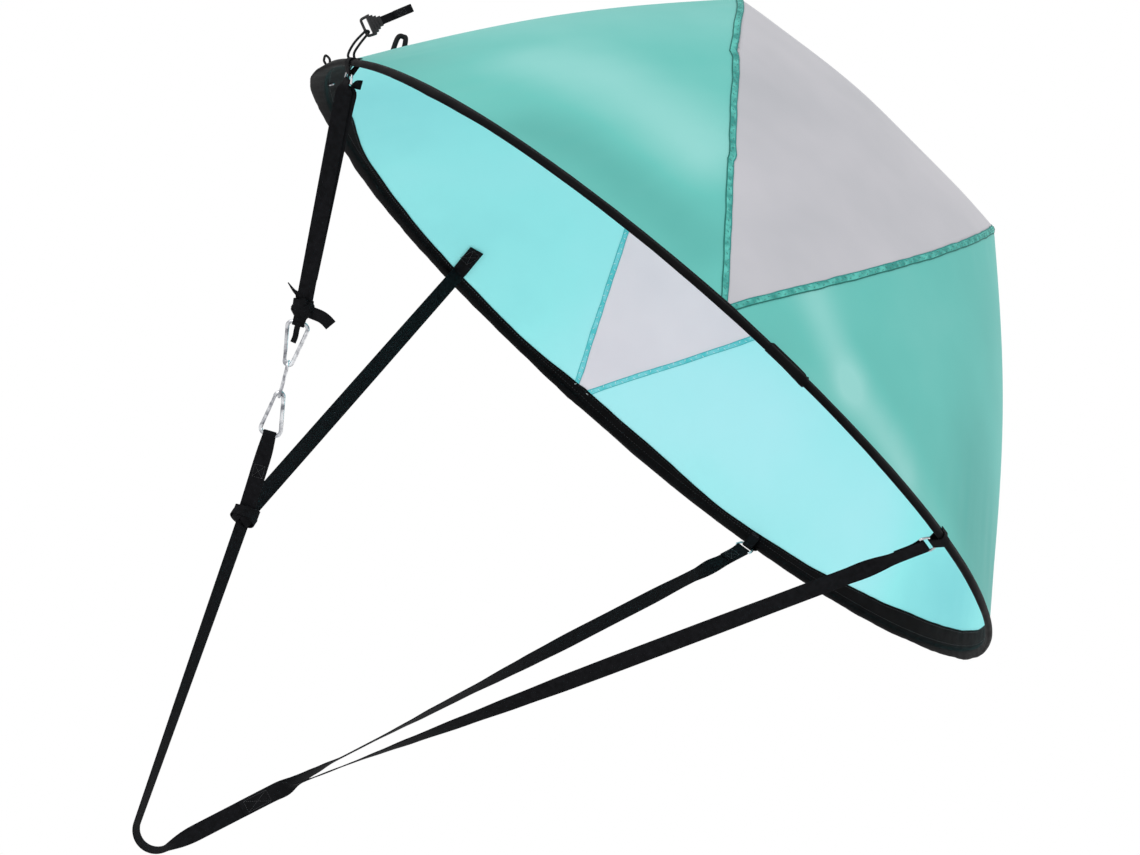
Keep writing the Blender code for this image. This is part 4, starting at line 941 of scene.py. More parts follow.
def rim_ring(place, deg, target):
    """A ring and its tab. Returns the ring's base, aim, direction of width and inner face."""
    along = rim_frame(deg)[1]
    hub, rim_in, rim_out = lip(deg, 0.0)
    aim = (target - hub).normalized()
    across = square_to(along, aim)
    top = hub + aim * RING_DROP
    outline = [top + across * p.x + aim * p.y for p in ring_outline()]
    wire("rim_ring_" + place, outline, RING_WIRE_R, NICKEL, cad="ring_" + place,
         cyclic=True)
    sewn_to = min(TAB_INNER, band_width(deg) - 0.001)
    inner = [lip_on(deg, reach, -TAPE_LAYER)[0] for reach in (sewn_to, sewn_to * 0.8, TAB_FOOT)]
    facing = toward(across.cross(aim), inner[-1] - hub)
    hook = arc(top, facing, aim, RING_WRAP_R, 0, 180, 11)
    # The tab leaves the ring on a tangent to the casing, which it then goes round
    around = CASING_R + TAB_OVER + WEB_T / 2
    chord = hook[-1] - hub
    out, back = chord.dot(rim_out), chord.dot(rim_in)
    leave = (degrees(atan2(out, back) + asin(around / hypot(out, back))) - 90) % 360
    casing = [p - rim_in * loose(deg) * max((hub - p).dot(rim_in) / around, 0.0)
              for p in arc(hub, rim_in, rim_out, around, leave, 30, 15)]
    line = inner[:2] + eased([inner[1], inner[2], hook[0]], WEB_W / 4)[1:-1]
    spread = [along] * len(line) + [across] * len(hook) + [along] * (len(casing) + 1)
    line += [*hook, *casing, lip_on(deg, TAB_OUTER, TAPE_LAYER)[0]]
    ribbon("rim_tab_" + place, line, spread, TAB_W, cad="tab_" + place)
    middle, length = (sewn_to + TAB_FOOT) / 2, (sewn_to - TAB_FOOT) * 0.6
    spot, inward, up = lip_on(deg, middle, -TAPE_LAYER - WEB_T / 2 - WEB_STITCH_LIFT)
    tack("tab_stitches_" + place, spot, inward, along, -up, (length, TAB_W * 0.72),
         (0.0022, 0.0005))
    return top + aim * RING_H, aim, across, facing


NEAR_LEFT = rim_ring("near_left", 197.5, CHAIN_TOP)
NEAR_RIGHT = rim_ring("near_right", 312.5, MERGE)
FAR_RIGHT = rim_ring("far_right", 57.5, MERGE)


# The near left strap and the upper knot
# Webbing folded over the near left ring runs down to a knot that has been pulled hard. The knot's
# core is creased, with flat turns over it. A tail curls out on one side, and a corner on the other.
CHAIN_BOTTOM = Vector((-0.2482, 0.068, -0.4532))
CHAIN_WAY = (CHAIN_BOTTOM - CHAIN_TOP).normalized()
SIDE = Vector((-0.05, -0.98, -0.19))
CHAIN_SIDE = SIDE.cross(CHAIN_WAY).normalized()
CHAIN_FACE = CHAIN_WAY.cross(CHAIN_SIDE)
HOOK_START = 0.006
HOOK_WIRE_R = 0.0025
WRAP_GAP = 0.0006
WRAP_W = 0.015
BIGHT_R = HOOK_WIRE_R + WRAP_GAP + WEB_T / 2
BIGHT_LEG = 0.011
KNOT_SINK = 0.006
UPPER_KNOT_R = Vector((0.0115, 0.0085, 0.0150))
UPPER_KNOT = CHAIN_TOP + CHAIN_WAY * (HOOK_START - 0.0150 - HOOK_WIRE_R - WRAP_GAP - WEB_T)
# How far a knot's core swells in lobes and lumps and sinks in creases, in shares of its radii
KNOT_LOBES, KNOT_LUMPS, KNOT_CREASES = 0.08, 0.10, 0.10
# How far a flat turn goes round a knot, and how deep its two ends go in, over a share of its way
KNOT_TURN_DEG = 400
KNOT_TURN_STEPS = 40
KNOT_END_SINK = 0.45
KNOT_END_SHARE = 0.07
# Each flat turn over a knot: its tilt, lean and shift, its width and the angle that it starts at
UPPER_TURNS = (
    (8, 6, -0.004, 0.012, 20), (-30, 14, 0.003, 0.011, 150), (36, -20, 0.000, 0.010, 250),
)
# The tail and the corner, as (sideways, down) from the knot in these two units
KNOT_UNITS = (0.012, 0.013)
CURL_SHARES = ((0.4, 0.1), (0.88, 0.22), (1.93, 0.33), (2.6, 0.55), (3.2, 0.91))
HORN_SHARES = ((-0.5, -0.5), (-0.81, -1.1), (-1.3, -1.35), (-2.07, -1.94))
# The short end that hangs in the hook, from a spot before and above the bight's middle
DANGLE = ((0.0, 0.0), (0.0, 0.010), (0.0006, 0.019), (-0.0004, 0.027))
DANGLE_WIDTHS = [0.0085] + [0.0070] * 12
DANGLE_OUT = 0.0042
DANGLE_UP = 0.006
TAIL_W = WEB_W * 0.77
HORN_WIDTHS = [WEB_W * (0.45 - 0.40 * k / 12) for k in range(13)]
FOLD_TAIL = 0.034
LEFT_TAIL = 0.015
UNDER_SHIFT = 0.0065


def twist(along, deg):
    """A direction across a strap: 90 shows its full face to the side view, 0 its edge."""
    flat = along.cross(SIDE).normalized()
    return flat * sin(radians(deg)) + flat.cross(along).normalized() * cos(radians(deg))


def fold_over(ring):
    """Line of a strap folded over a ring's base wire, up to where it runs free."""
    base, aim, _, face = ring
    snug = base + face * (LAYER - RING_WRAP_R)
    tail = [snug + aim * reach for reach in (FOLD_TAIL, FOLD_TAIL * 0.6, RING_WRAP_R * 4)]
    bend = arc(base, face, -aim, RING_WRAP_R, 0, 180, 11)
    return [*tail, *bend, base - face * RING_WRAP_R + aim * FOLD_TAIL * 1.15]


def free_cord(line):
    """Works out the points and length of a strap's free run, which goes from one part of the sail
    to another, and keeps neither.
    """
    path = [HOOP_CENTRE + point for point in line]
    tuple(path[0])
    way_gone(line)[-1]


def pulled_knot(name, cad, centre, along, across, radii, turns, seed):
    """A knot's creased core, and flat turns of webbing over it."""
    face = along.cross(across)
    core = bmesh.new()
    bmesh.ops.create_icosphere(core, subdivisions=5, radius=1.0)
    for vertex in core.verts:
        d = vertex.co.normalized()
        swell = 1 + KNOT_LOBES * sin(3 * atan2(d.y, d.x) + 4 * d.z)
        swell += KNOT_LUMPS * noise.noise(d * 2.2 + Vector((seed, 0, 0)))
        swell -= KNOT_CREASES * ease(noise.noise(d * 3.1 + Vector((0, seed, 0))), 0.10)
        off = across * d.x * radii.x + face * d.y * radii.y + along * d.z * radii.z
        vertex.co = centre + off * swell * 0.94
    layer = core.loops.layers.uv.new("metres")
    for facet in core.faces:
        for corner in facet.loops:
            off = corner.vert.co - centre
            corner[layer].uv = (off.dot(across), off.dot(along))
    made = [piece(name, core, (BLACK_WEBBING,), cad=cad)]
    for k, (tilt, lean, shift, width, first) in enumerate(turns):
        tilted = along * cos(radians(tilt)) + across * sin(radians(tilt))
        axis = (tilted + face * sin(radians(lean))).normalized()
        u = square_to(across if abs(tilt) < 60 else along, axis)
        v = axis.cross(u)
        line = []
        for share in (j / KNOT_TURN_STEPS for j in range(KNOT_TURN_STEPS + 1)):
            a = radians(first + KNOT_TURN_DEG * share)
            d = u * cos(a) + v * sin(a)
            spans = zip((across, face, along), radii)
            reach = 1 / sqrt(sum((d.dot(way) / radius) ** 2 for way, radius in spans))
            ends = ease(share, KNOT_END_SHARE) + ease(1 - share, KNOT_END_SHARE)
            sunk = 1 - KNOT_END_SINK * ends
            off = d * reach * (1.04 + 0.02 * k) * sunk + axis * (shift + 0.002 * (share - 0.5))
            line.append(centre + off)
        made.append(ribbon(f"{name}_turn_{k}", line, axis, width))
    return made


def from_knot(shares, units=KNOT_UNITS, start=UPPER_KNOT):
    return [start + CHAIN_SIDE * units[0] * a + CHAIN_WAY * units[1] * d for a, d in shares]


_, aim, across, face = NEAR_LEFT
*_, below = folded = fold_over(NEAR_LEFT)
bend = folded[3:-1]
turn = bend[0] + (aim + face) * RING_WRAP_R
tip = turn + face * (LEFT_TAIL - RING_WRAP_R)
tail = [tip, tip.lerp(turn, 0.5), *eased([tip, turn, bend[0]], RING_WRAP_R, 4)[1:-1], *bend[:2]]
shown = toward(twist((tail[1] - tip).normalized(), 62), across)
spread = [shown, shown, across.lerp(shown, 0.5)] + [across] * (len(tail) - 3)
ribbon("near_left_strap_end", tail, spread, WEB_W * 0.6)
end = UPPER_KNOT - CHAIN_WAY * (UPPER_KNOT_R.z - KNOT_SINK)
free = spline([bend[-1], below, below.lerp(end, 0.35), below.lerp(end, 0.7), end], 30)[1:]
line = bend + free
turn_to = toward(CHAIN_SIDE, across)
turned = [min(k / 2, 1.0) for k in range(len(free))]
spread = [across] * len(bend) + [across.lerp(turn_to, share**0.6) for share in turned]
near_strap = ribbon("near_left_strap", line, spread, WEB_W, cad="strap_near_left")
reach = round(len(free) * 0.9)
under = [bend[-1] - CHAIN_FACE * LAYER]
for k in range(reach):
    aside = turn_to * UNDER_SHIFT * turned[k] * (1 - k / reach)
    under.append(free[k] + aside - CHAIN_FACE * (LAYER + SNUG))
ribbon("near_left_strap_under", under, spread[len(bend) - 1 : len(bend) + reach], WEB_W)
knot = pulled_knot("upper_knot", "knot_upper", UPPER_KNOT, CHAIN_WAY, CHAIN_SIDE, UPPER_KNOT_R,
                   UPPER_TURNS, 4.0)
free_cord(line)
ribbon("knot_tail", spline(from_knot(CURL_SHARES), 20), CHAIN_WAY, TAIL_W, cad="upper_tail")
ribbon("knot_corner", spline(from_knot(HORN_SHARES), 12), CHAIN_WAY + CHAIN_SIDE, HORN_WIDTHS,
       cad="upper_corner")
bight = arc(CHAIN_TOP + CHAIN_WAY * HOOK_START, CHAIN_FACE, CHAIN_WAY, BIGHT_R, 0, 180, 13)
hang = bight[6] + CHAIN_FACE * DANGLE_OUT - CHAIN_WAY * DANGLE_UP
bight = [bight[0] - CHAIN_WAY * BIGHT_LEG, *bight, bight[-1] - CHAIN_WAY * BIGHT_LEG]
ribbon("hook_bight", bight, CHAIN_SIDE, WRAP_W, cad="upper_bight")
ribbon("bight_end", spline(from_knot(DANGLE, (1, 1), hang), 12), CHAIN_SIDE, DANGLE_WIDTHS)


# The snap hooks and their link
# Two hooks of plated bent wire, with a flat tongue at the narrow end where a sprung gate is pinned.
# An oval link joins their narrow ends, so that the strap can be let out or taken off.
HOOK_L = 0.055
HOOK_FLAT_HALF = 0.006
HOOK_CORNER_R = 0.0065
HOOK_NARROW_R = 0.005
NOSE_L = 0.0035
WIRE_END_L = 0.0016
TONGUE_SIZE = (0.0070, 0.0040, 0.0020)
TONGUE_FROM = 0.0037
TONGUE_EDGE = 0.0005
LINK_WIRE_R = 0.00175
LINK_HALF_W = 0.005
LINK_PLAY = 0.0013
LINK_SPAN = 0.0375
LINK_NEST = HOOK_WIRE_R + LINK_WIRE_R + 0.0003


def paint(cad, finish):
    """Gives a finish to a piece of the CAD model that shows as it is."""
    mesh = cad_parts[cad].data
    mesh.materials.clear()
    mesh.materials.append(finish)


def snap_hook(place, start, way):
    """A hook's bent body from its wide end, with the tongue for its gate's pin."""
    low = Vector((-HOOK_FLAT_HALF, HOOK_CORNER_R))
    high = Vector((0.0, HOOK_L - HOOK_NARROW_R))
    ahead = (high - low).normalized()
    lean = asin((HOOK_CORNER_R - HOOK_NARROW_R) / (high - low).length)
    normal = Vector((-ahead.y, ahead.x)) * cos(lean) + ahead * sin(lean)
    deg = degrees(atan2(normal.y, normal.x))
    gate_low, gate_high = low + normal * HOOK_CORNER_R, high + normal * HOOK_NARROW_R
    down = (gate_low - gate_high).normalized()

    def spot(p):
        return CHAIN_TOP + CHAIN_WAY * start + CHAIN_SIDE * p.x + way * p.y

    line = [gate_low - down * NOSE_L]
    other = Vector((-low.x, low.y))
    for centre, radius, first, last, count in (
        (low, HOOK_CORNER_R, deg, 270, 14), (other, HOOK_CORNER_R, -90, 180 - deg, 14),
        (high, HOOK_NARROW_R, 180 - deg, deg, 20),
    ):
        line += arc(centre, Vector((1, 0)), Vector((0, 1)), radius, first, last, count)
    line = [spot(p) for p in (*line, gate_high + down * WIRE_END_L)]
    body = "hook_" + place
    wire("snap_hook_wire_" + place, line, HOOK_WIRE_R, NICKEL, body,
         "snap_hook_" + place)
    long_way = (spot(gate_high + down) - spot(gate_high)).normalized()
    flat = square_to(CHAIN_SIDE, long_way)
    turn = Matrix((long_way, flat, long_way.cross(flat))).transposed().to_4x4()
    turn = Matrix.Translation(spot(gate_high + down * TONGUE_FROM)) @ turn
    tongue = bmesh.new()
    bmesh.ops.create_cube(tongue, size=1.0, matrix=turn @ Matrix.Diagonal((*TONGUE_SIZE, 1.0)))
    made = piece("snap_hook_tongue_" + place, tongue, (NICKEL,), body)
    modify(made, "BEVEL", width=TONGUE_EDGE, segments=3)
    paint("gate_" + place, NICKEL)
    paint("gate_pin_" + place, NICKEL)


snap_hook("upper", HOOK_START, CHAIN_WAY)
link_from = HOOK_START + HOOK_L - LINK_NEST
link_to = link_from + 2 * LINK_NEST + LINK_SPAN
middle = CHAIN_TOP + CHAIN_WAY * (link_from + link_to) / 2
straight = CHAIN_WAY * ((link_to - link_from) / 2 - LINK_HALF_W)
link_side = CHAIN_SIDE.cross(CHAIN_WAY)
oval = arc(middle + straight, CHAIN_WAY, link_side, LINK_HALF_W, -90, 90, 16)
oval += arc(middle - straight, CHAIN_WAY, link_side, LINK_HALF_W, 90, 270, 16)
wire("oval_link", oval, LINK_WIRE_R, NICKEL, "chain_link", "link", cyclic=True)
LOWER_WIDE = link_to - LINK_NEST - LINK_PLAY + HOOK_L
snap_hook("lower", LOWER_WIDE, -CHAIN_WAY)


# The lower knot and the far left strap
# The lower hook hangs in a fold of webbing from the lower knot. A second strap runs from the knot
# to the far left rim, where it is sewn flat on the inside of the cloth in a crossed box.
JUNCTION = Vector((-0.2470, 0.070, -0.4630))
LOWER_KNOT_R = Vector((0.0150, 0.0100, 0.0125))
LOWER_TURNS = (
    (6, 10, -0.0035, 0.012, 10), (52, 16, 0.001, 0.011, 130), (-48, -12, -0.001, 0.011, 230),
    (14, -22, 0.0045, 0.010, 300),
)
HAND_BEND = Vector((-0.0755, 0.0, -0.820))
FAR_LEFT_DEG = 117.8
SEWN_END = 0.0565
SEWN_LEAN_DEG = 2.6
SEWN_REACHES = (SEWN_END, 0.050, 0.044, 0.038, 0.032, 0.026, 0.018, 0.0115)
FAR_LEFT_LAYER = TAPE_LAYER + SNUG
FAR_LEFT_BOX_AT = (SEWN_LEAN_DEG * 0.8, 0.042)
CROSS_YARN = (0.0024, 0.0006)
# From the middle of one strap to the stitches on the strap that is sewn to its face
OVER_STRAP = WEB_T * 1.5 + SNUG + WEB_STITCH_LIFT

lower_wire = CHAIN_TOP + CHAIN_WAY * LOWER_WIDE
stop = JUNCTION - CHAIN_WAY * (LOWER_KNOT_R.z - KNOT_SINK)
turn = arc(lower_wire, CHAIN_FACE, -CHAIN_WAY, BIGHT_R, 0, 180, 13)
close = lower_wire + CHAIN_WAY * BIGHT_R * 5
near = close + CHAIN_FACE * LAYER
tail_end = near + (stop - close).normalized() * FOLD_TAIL
line = [tail_end, near.lerp(tail_end, 0.5), near, *turn]
line += [close.lerp(stop, k / 8) for k in range(9)]
# The strap is drawn in where it turns round the hook
widths = [WEB_W, WEB_W, WEB_W * 0.97, *[WRAP_W * 1.04] * len(turn), WEB_W * 0.97, *[WEB_W] * 8]
ribbon("lower_hook_strap", line, CHAIN_SIDE, widths, cad="strap_chain")
spot = close.lerp(stop, 0.36) + CHAIN_FACE * OVER_STRAP
tack("lower_fold_stitches", spot, CHAIN_WAY, CHAIN_SIDE, CHAIN_FACE, (0.016, 0.013))

along = rim_frame(FAR_LEFT_DEG)[1]
sewn = [lip_on(FAR_LEFT_DEG + SEWN_LEAN_DEG * reach / SEWN_END, reach, -FAR_LEFT_LAYER)[0]
        for reach in SEWN_REACHES]
way = (JUNCTION - sewn[-1]).normalized()
entry = JUNCTION - way * LOWER_KNOT_R.x * 0.55
free = [sewn[-1].lerp(entry, k / 24) for k in range(1, 25)]
line = sewn[:-1] + eased([sewn[-2], sewn[-1], free[0]], WEB_W / 3)[1:-1] + free
final = toward(square_to(twist(way, 90), way), along)
spread = [along] * (len(line) - len(free)) + [along.lerp(final, k / 23) for k in range(24)]
far_strap = ribbon("far_left_strap", line, spread, WEB_W, cad="strap_far_left")
lift = FAR_LEFT_LAYER + WEB_T / 2 + THREAD_LIFT
spot, inward, up = lip_on(FAR_LEFT_DEG + FAR_LEFT_BOX_AT[0], FAR_LEFT_BOX_AT[1], -lift)
tack("far_left_stitches", spot, inward, inward.cross(up), -up, (0.022, 0.0145), CROSS_YARN)
knot_way = (HAND_BEND - JUNCTION).normalized()
lower_knot = pulled_knot("lower_knot", "knot_lower", JUNCTION, knot_way, twist(knot_way, 90),
                         LOWER_KNOT_R, LOWER_TURNS, 9.0)
free_cord(line)


# The hand rein
# One strap runs from the lower knot, round the bend that the paddler holds, and up to where the two
# right reins are sewn to its faces.
HAND_BEND_R = 0.025
HAND_LEG_DEG = 21.8
LAP_SEAM = 0.043
# The strap's turn at the lower knot, round the bend and at the lap, where it shows its face
HAND_TURN_DEG = (48.0, 17.0, 90.0)

bend = arc(HAND_BEND, Vector((1, 0, 0)), Vector((0, 0, 1)), HAND_BEND_R, 180 + HAND_LEG_DEG,
           360 - HAND_LEG_DEG, 24)
top = JUNCTION + (bend[0] - JUNCTION).normalized() * LOWER_KNOT_R.z * 0.6
REIN_WAY = (MERGE - bend[-1]).normalized()
LAP_FROM = MERGE - REIN_WAY * LAP_SEAM
LAP = [LAP_FROM, LAP_FROM.lerp(MERGE, 0.5), MERGE]
line = [top.lerp(bend[0], k / 24) for k in range(24)] + bend
line += [bend[-1].lerp(LAP_FROM, k / 9) for k in range(1, 9)] + LAP
first, held, last = HAND_TURN_DEG
turns = [first + (held - first) * k / 24 for k in range(24)] + [held] * 24
turns += [held + (last - held) * min(k / 3.5, 1.0) for k in range(1, 12)]
spread = [twist(along, deg) for along, deg in zip(tangents(line), turns)]
hand = ribbon("hand_rein_strap", line, spread, WEB_W, cad="hand_rein")
free_cord(line)


# The right reins
# Each is folded over its ring and turns as it runs down, so that it shows now its face and now its
# edge. They end on the two faces of the hand rein, sewn through with crossed boxes.
REIN_STEPS = 90
REIN_SHARES = (0.15, 0.35, 0.6, 0.85)
# Each rein's turn along its run, from the lap up to the ring: 90 shows its face, 180 its edge
NEAR_TURNS = (
    (0, 90), (0.045, 174), (0.09, 178), (0.14, 174), (0.18, 166), (0.23, 155), (0.32, 139),
    (0.41, 122), (0.50, 101), (0.57, 90), (0.70, 80), (0.82, 68), (1, 64),
)
FAR_TURNS = (
    (0, 90), (0.03, 132), (0.06, 146), (0.09, 158), (0.13, 174), (0.21, 173), (0.27, 167),
    (0.32, 158), (0.41, 152), (0.50, 136), (0.55, 125), (0.64, 110), (0.72, 112), (0.82, 110),
    (0.91, 125), (1, 130),
)
flat = twist(REIN_WAY, 90)
lap_face = toward(flat.cross(REIN_WAY).normalized(), SIDE)


def rein(name, cad, ring, sign, turns):
    base, aim, across, ring_face = ring
    start = fold_over(ring)
    lap = [point + lap_face * sign * LAYER for point in LAP]
    points = [lap[-1], *(lap[-1].lerp(start[-1], t) for t in REIN_SHARES), start[-1]]
    points[1] += REIN_WAY * WEB_W / 5
    line = spline(points, REIN_STEPS)
    gone = way_gone(line)
    shares = [way / gone[-1] for way in gone]
    spread = [twist(along, between(turns, t)) for t, along in zip(shares, tangents(line))]
    for first, step, target, over in ((0, 1, flat, 4), (REIN_STEPS, -1, across, 9)):
        for k in range(over):
            here = spread[first + step * k]
            spread[first + step * k] = here.lerp(toward(target, here), 1 - k / over)
    whole = lap[:2] + line + start[-2::-1]
    spread = [flat] * 2 + spread + [across] * (len(start) - 1)
    strap = ribbon(name, whole, spread, WEB_W, cad=cad)
    free_cord([start[-2], *line[::-1], lap[1], lap[0]])
    spot = base + aim * FOLD_TAIL * 0.66 + ring_face * (2 * WEB_T - SNUG - RING_WIRE_R)
    tack(name + "_stitches", spot, aim, across, ring_face, (0.016, 0.014))


rein("near_right_rein", "rein_near", NEAR_RIGHT, 1, NEAR_TURNS)
rein("far_right_rein", "rein_far", FAR_RIGHT, -1, FAR_TURNS)
for sign, where in ((1, "near"), (-1, "far")):
    tack("rein_lap_stitches_" + where, LAP[1] + lap_face * sign * OVER_STRAP, REIN_WAY, flat,
         lap_face * sign, (LAP_SEAM * 0.7, 0.0145), CROSS_YARN)


# The deck fastener
# A thin cord on the left rim carries a flat moulded buckle with stepped sides and a thin bail.
# A short doubled pull of narrow webbing is let into its end.
DECK_CORD_R = 0.0015
DECK_CORD_DEG = 195.6
BUCKLE_BAR_R = 0.0017
BUCKLE_HALF_W = 0.0130
BUCKLE_L = 0.023
BUCKLE_BODY_FROM = 0.0072
BUCKLE_T = 0.006
BUCKLE_END_HALF = 0.0062
BUCKLE_STEPS = 3
BUCKLE_FROM_RIM = Vector((-0.0125, -0.0060, 0.0430))
BUCKLE_EDGE = 0.0009
BAR_SHARE = 0.82
BAIL_CORNER_R = 0.0030
RIB_COUNT = 3
RIB_FROM = BUCKLE_BODY_FROM + 0.0045
RIB_W = 0.0012
RIB_H = 0.0009
RIB_EDGE = 0.0003
RIB_PITCH = 0.0038
PULL_W = 0.010
PULL_T = 0.0016
PULL_L = 0.038
PULL_FOLD = 0.022
PULL_ROOT = 0.0035
DECK_CORD_SPREAD = 0.0035
DECK_CORD_LIFT = 0.0014


def cord_finish(name, tints):
    """Braided polyester cord: yarns cross in a fine diamond pattern, drawn a little coarser."""
    made, tree = new_finish(name)
    spot = node(tree, "TexCoord", output="Object")
    cells = node(tree, "TexVoronoi", {"Vector": spot, "Scale": 900.0, "Randomness": 0.35})
    return dress(made, mottled(tree, 300.0, tints), 0.66, 0.2, bump(tree, cells, 0.7, 0.0004))


def moulded(name, tints):
    """Moulded acetal: a faintly sparked mould texture with a satin shine."""
    made, tree = new_finish(name)
    relief = bump(tree, speckle(tree, 1400.0, 2.0), 0.15, 0.0002)
    return dress(made, mottled(tree, 260.0, tints), 0.42, 0.35, relief)


BLACK_CORD = cord_finish("black_braided_cord", ("#0C0C0E", "#1A1A1D"))
ACETAL = moulded("black_acetal_moulding", ("#101012", "#1B1B1E"))
bar_at = lip(DECK_CORD_DEG, 0.0)[0] + BUCKLE_FROM_RIM
aim = Vector((0.41, 0.0, 0.91)).normalized()
width_way = square_to(SIDE, aim).cross(aim)
face_up = aim.cross(width_way)


def on_buckle(x, y=0.0, z=0.0):
    return bar_at + aim * x + width_way * y + face_up * z


def moulding(name, shape, edge, cad=None, **more):
    """A moulded piece of the buckle, drawn along X from its bar and rounded at its edges."""
    for vertex in shape.verts:
        vertex.co = on_buckle(*vertex.co)
    made = piece(name, shape, (ACETAL,), "buckle", cad)
    modify(made, "BEVEL", width=edge, **more)


def block(shape, size, middle):
    made = bmesh.ops.create_cube(shape, size=1.0)["verts"]
    bmesh.ops.scale(shape, vec=size, verts=made)
    bmesh.ops.translate(shape, vec=middle, verts=made)


step_w = (BUCKLE_HALF_W - BUCKLE_END_HALF) / BUCKLE_STEPS
step_l = (BUCKLE_L - BUCKLE_BODY_FROM) / (BUCKLE_STEPS + 1.5)
first_l = step_l * 1.2
body = bmesh.new()
block(body, (first_l, BUCKLE_HALF_W * 2, BUCKLE_T), (BUCKLE_BODY_FROM + first_l / 2, 0.0, 0.0))
moved = [max(body.faces, key=lambda face: face.calc_center_median().x)]
for k in range(BUCKLE_STEPS):
    half = BUCKLE_HALF_W - step_w * k
    moved = bmesh.ops.extrude_discrete_faces(body, faces=moved)["faces"]
    bmesh.ops.scale(body, vec=(1.0, (half - step_w) / half, 0.94), verts=moved[0].verts)
    moved = bmesh.ops.extrude_discrete_faces(body, faces=moved)["faces"]
    last_l = BUCKLE_L - BUCKLE_BODY_FROM - step_l * (BUCKLE_STEPS + 0.2)
    onward = step_l if k < BUCKLE_STEPS - 1 else last_l
    bmesh.ops.translate(body, vec=(onward, 0.0, 0.0), verts=moved[0].verts)
bmesh.ops.recalc_face_normals(body, faces=body.faces)
moulding("buckle_body", body, BUCKLE_EDGE, "deck_buckle", segments=3, limit_method="ANGLE")
ribs = bmesh.new()
for k in range(RIB_COUNT):
    size = (RIB_W, (BUCKLE_HALF_W - step_w * (k + 0.6)) * 1.1, RIB_H)
    for flip in (1, -1):
        height = flip * (BUCKLE_T / 2 + 0.0002 - 0.0001 * k)
        block(ribs, size, (RIB_FROM + RIB_PITCH * k, 0.0, height))
moulding("buckle_grip_ribs", ribs, RIB_EDGE, segments=2)
bar, side_y = BUCKLE_HALF_W * BAR_SHARE, BUCKLE_HALF_W - BUCKLE_BAR_R
bail = [(BUCKLE_BODY_FROM + step_l, side_y), (BUCKLE_BODY_FROM * 0.8, side_y), (0.0, bar)]
bail += [(x, -y) for x, y in reversed(bail)]
bail = eased([on_buckle(x, y) for x, y in bail], BAIL_CORNER_R, 6)
wire("buckle_bail", bail, BUCKLE_BAR_R, ACETAL, "buckle")

tip, turn_r = BUCKLE_L + PULL_L, PULL_T / 2 + 2 * SNUG
line = [on_buckle(x) for x in (BUCKLE_L - PULL_ROOT, BUCKLE_L + PULL_W / 2, tip - PULL_FOLD)]
line += arc(on_buckle(tip, 0.0, turn_r), -face_up, aim, turn_r, 0, 180, 13)
line.append(on_buckle(tip - PULL_FOLD, 0.0, turn_r * 2))
ribbon("buckle_pull", line, width_way, PULL_W, PULL_T, "buckle", "deck_pull")
spot = on_buckle(tip - PULL_FOLD * 0.55, 0.0, turn_r * 2 + PULL_T / 2 + WEB_STITCH_LIFT)
tack("buckle_pull_stitches", spot, aim, width_way, face_up, (0.010, 0.007), (0.0020, 0.0005),
     "buckle")

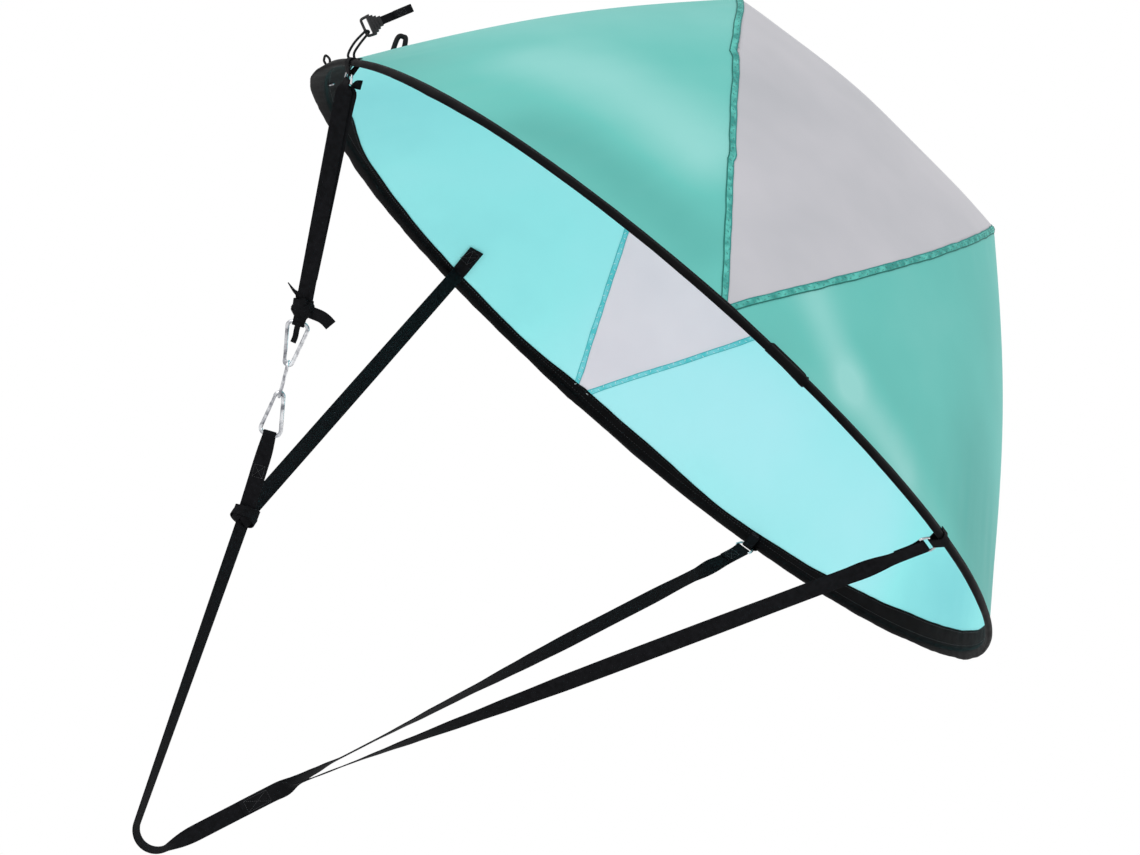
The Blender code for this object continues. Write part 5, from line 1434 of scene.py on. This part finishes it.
wrap = BUCKLE_BAR_R + SNUG + DECK_CORD_R
apart = DECK_CORD_R * 1.6
loop = arc(bar_at - width_way * bar * 0.6, aim, face_up, wrap, -90, 90, 17)
loop = [point + width_way * apart * (k / 8 - 1) for k, point in enumerate(loop)]
legs = []
for sign, first in ((-1, loop[0]), (1, loop[-1])):
    point, _, out = lip(DECK_CORD_DEG + sign * degrees(apart * 1.3 / HOOP_R), OUTER_LAP * 0.7)
    root = point + out * DECK_CORD_LIFT
    rise = root + out * DECK_CORD_R * 5
    aside = lip(DECK_CORD_DEG, 0.0)[1] * DECK_CORD_SPREAD * sign
    middle = rise.lerp(first, 0.55) - aim * DECK_CORD_R * 2 - aside
    legs.append(spline([root - aside, rise - aside * 1.4, middle, first], 24))
path = legs[0][:-1] + loop + legs[1][-2::-1]
deck_line = wire("deck_cord_loop", path, DECK_CORD_R, BLACK_CORD, cad="deck_cord")
way_gone(path)[-1]


# The stow loop, the hang loop and the eyelet
# A thick cord loop on the left panel's back holds the folded sail shut. A small loop on the sleeve
# hangs it up to dry, and a plated eyelet beside it drains the tape.
STOW_R = 0.0033
STOW_AT = (-0.882 * HOOP_R, 0.224 * HOOP_R)
STOW_LIFT = 0.0004
# Each foot's way along X, and its height
STOW_FEET = ((0.0, 0.018), (0.008, 0.016))
STOW_TOP = ((-0.0310, 0, 0.0440), (-0.0270, 0, 0.0520), (-0.0212, 0, 0.0490))
HANG_R = 0.0015
HANG_DEG = 184.6
HANG_H = 0.010

feet = []
for shift, height in STOW_FEET:
    x, y = STOW_AT[0] + shift, STOW_AT[1]
    root = cloth_point(x, y) + cloth_normal(x, y) * STOW_LIFT
    feet.append((root, root + cloth_normal(x, y) * height))
(first, first_top), (last, last_top) = feet
path = spline([first, first_top, *(first + Vector(rise) for rise in STOW_TOP), last_top, last], 60)
stow = wire("stow_loop_cord", path, STOW_R, BLACK_CORD, cad="stow_loop")
way_gone(path)[-1]

SPRING_STEEL = plated("oiled_spring_steel", ("#4A4B50", "#7A7B80"), 0.30)
BRASS = plated("drawn_brass_tube", ("#8A6A34", "#C7A25A"), 0.22)
point, inward, up = lip(HANG_DEG, 0.0)
root = point + up * (CASING_R + TAB_OVER)
half = (rim_frame(HANG_DEG)[1] * 0.4 + inward).normalized() * HANG_R * 1.8
hoop = [root + half * aside + up * HANG_H * rise
        for aside, rise in ((-1, 0), (-1.3, 0.5), (0, 1), (1.3, 0.5), (1, 0))]
wire("hang_loop_cord", spline(hoop, 32), HANG_R, BLACK_CORD, cad="hang_loop")
for cad, finish in (("sleeve_eyelet", NICKEL), ("hoop_rod", SPRING_STEEL), ("hoop_ferrule", BRASS)):
    paint(cad, finish)
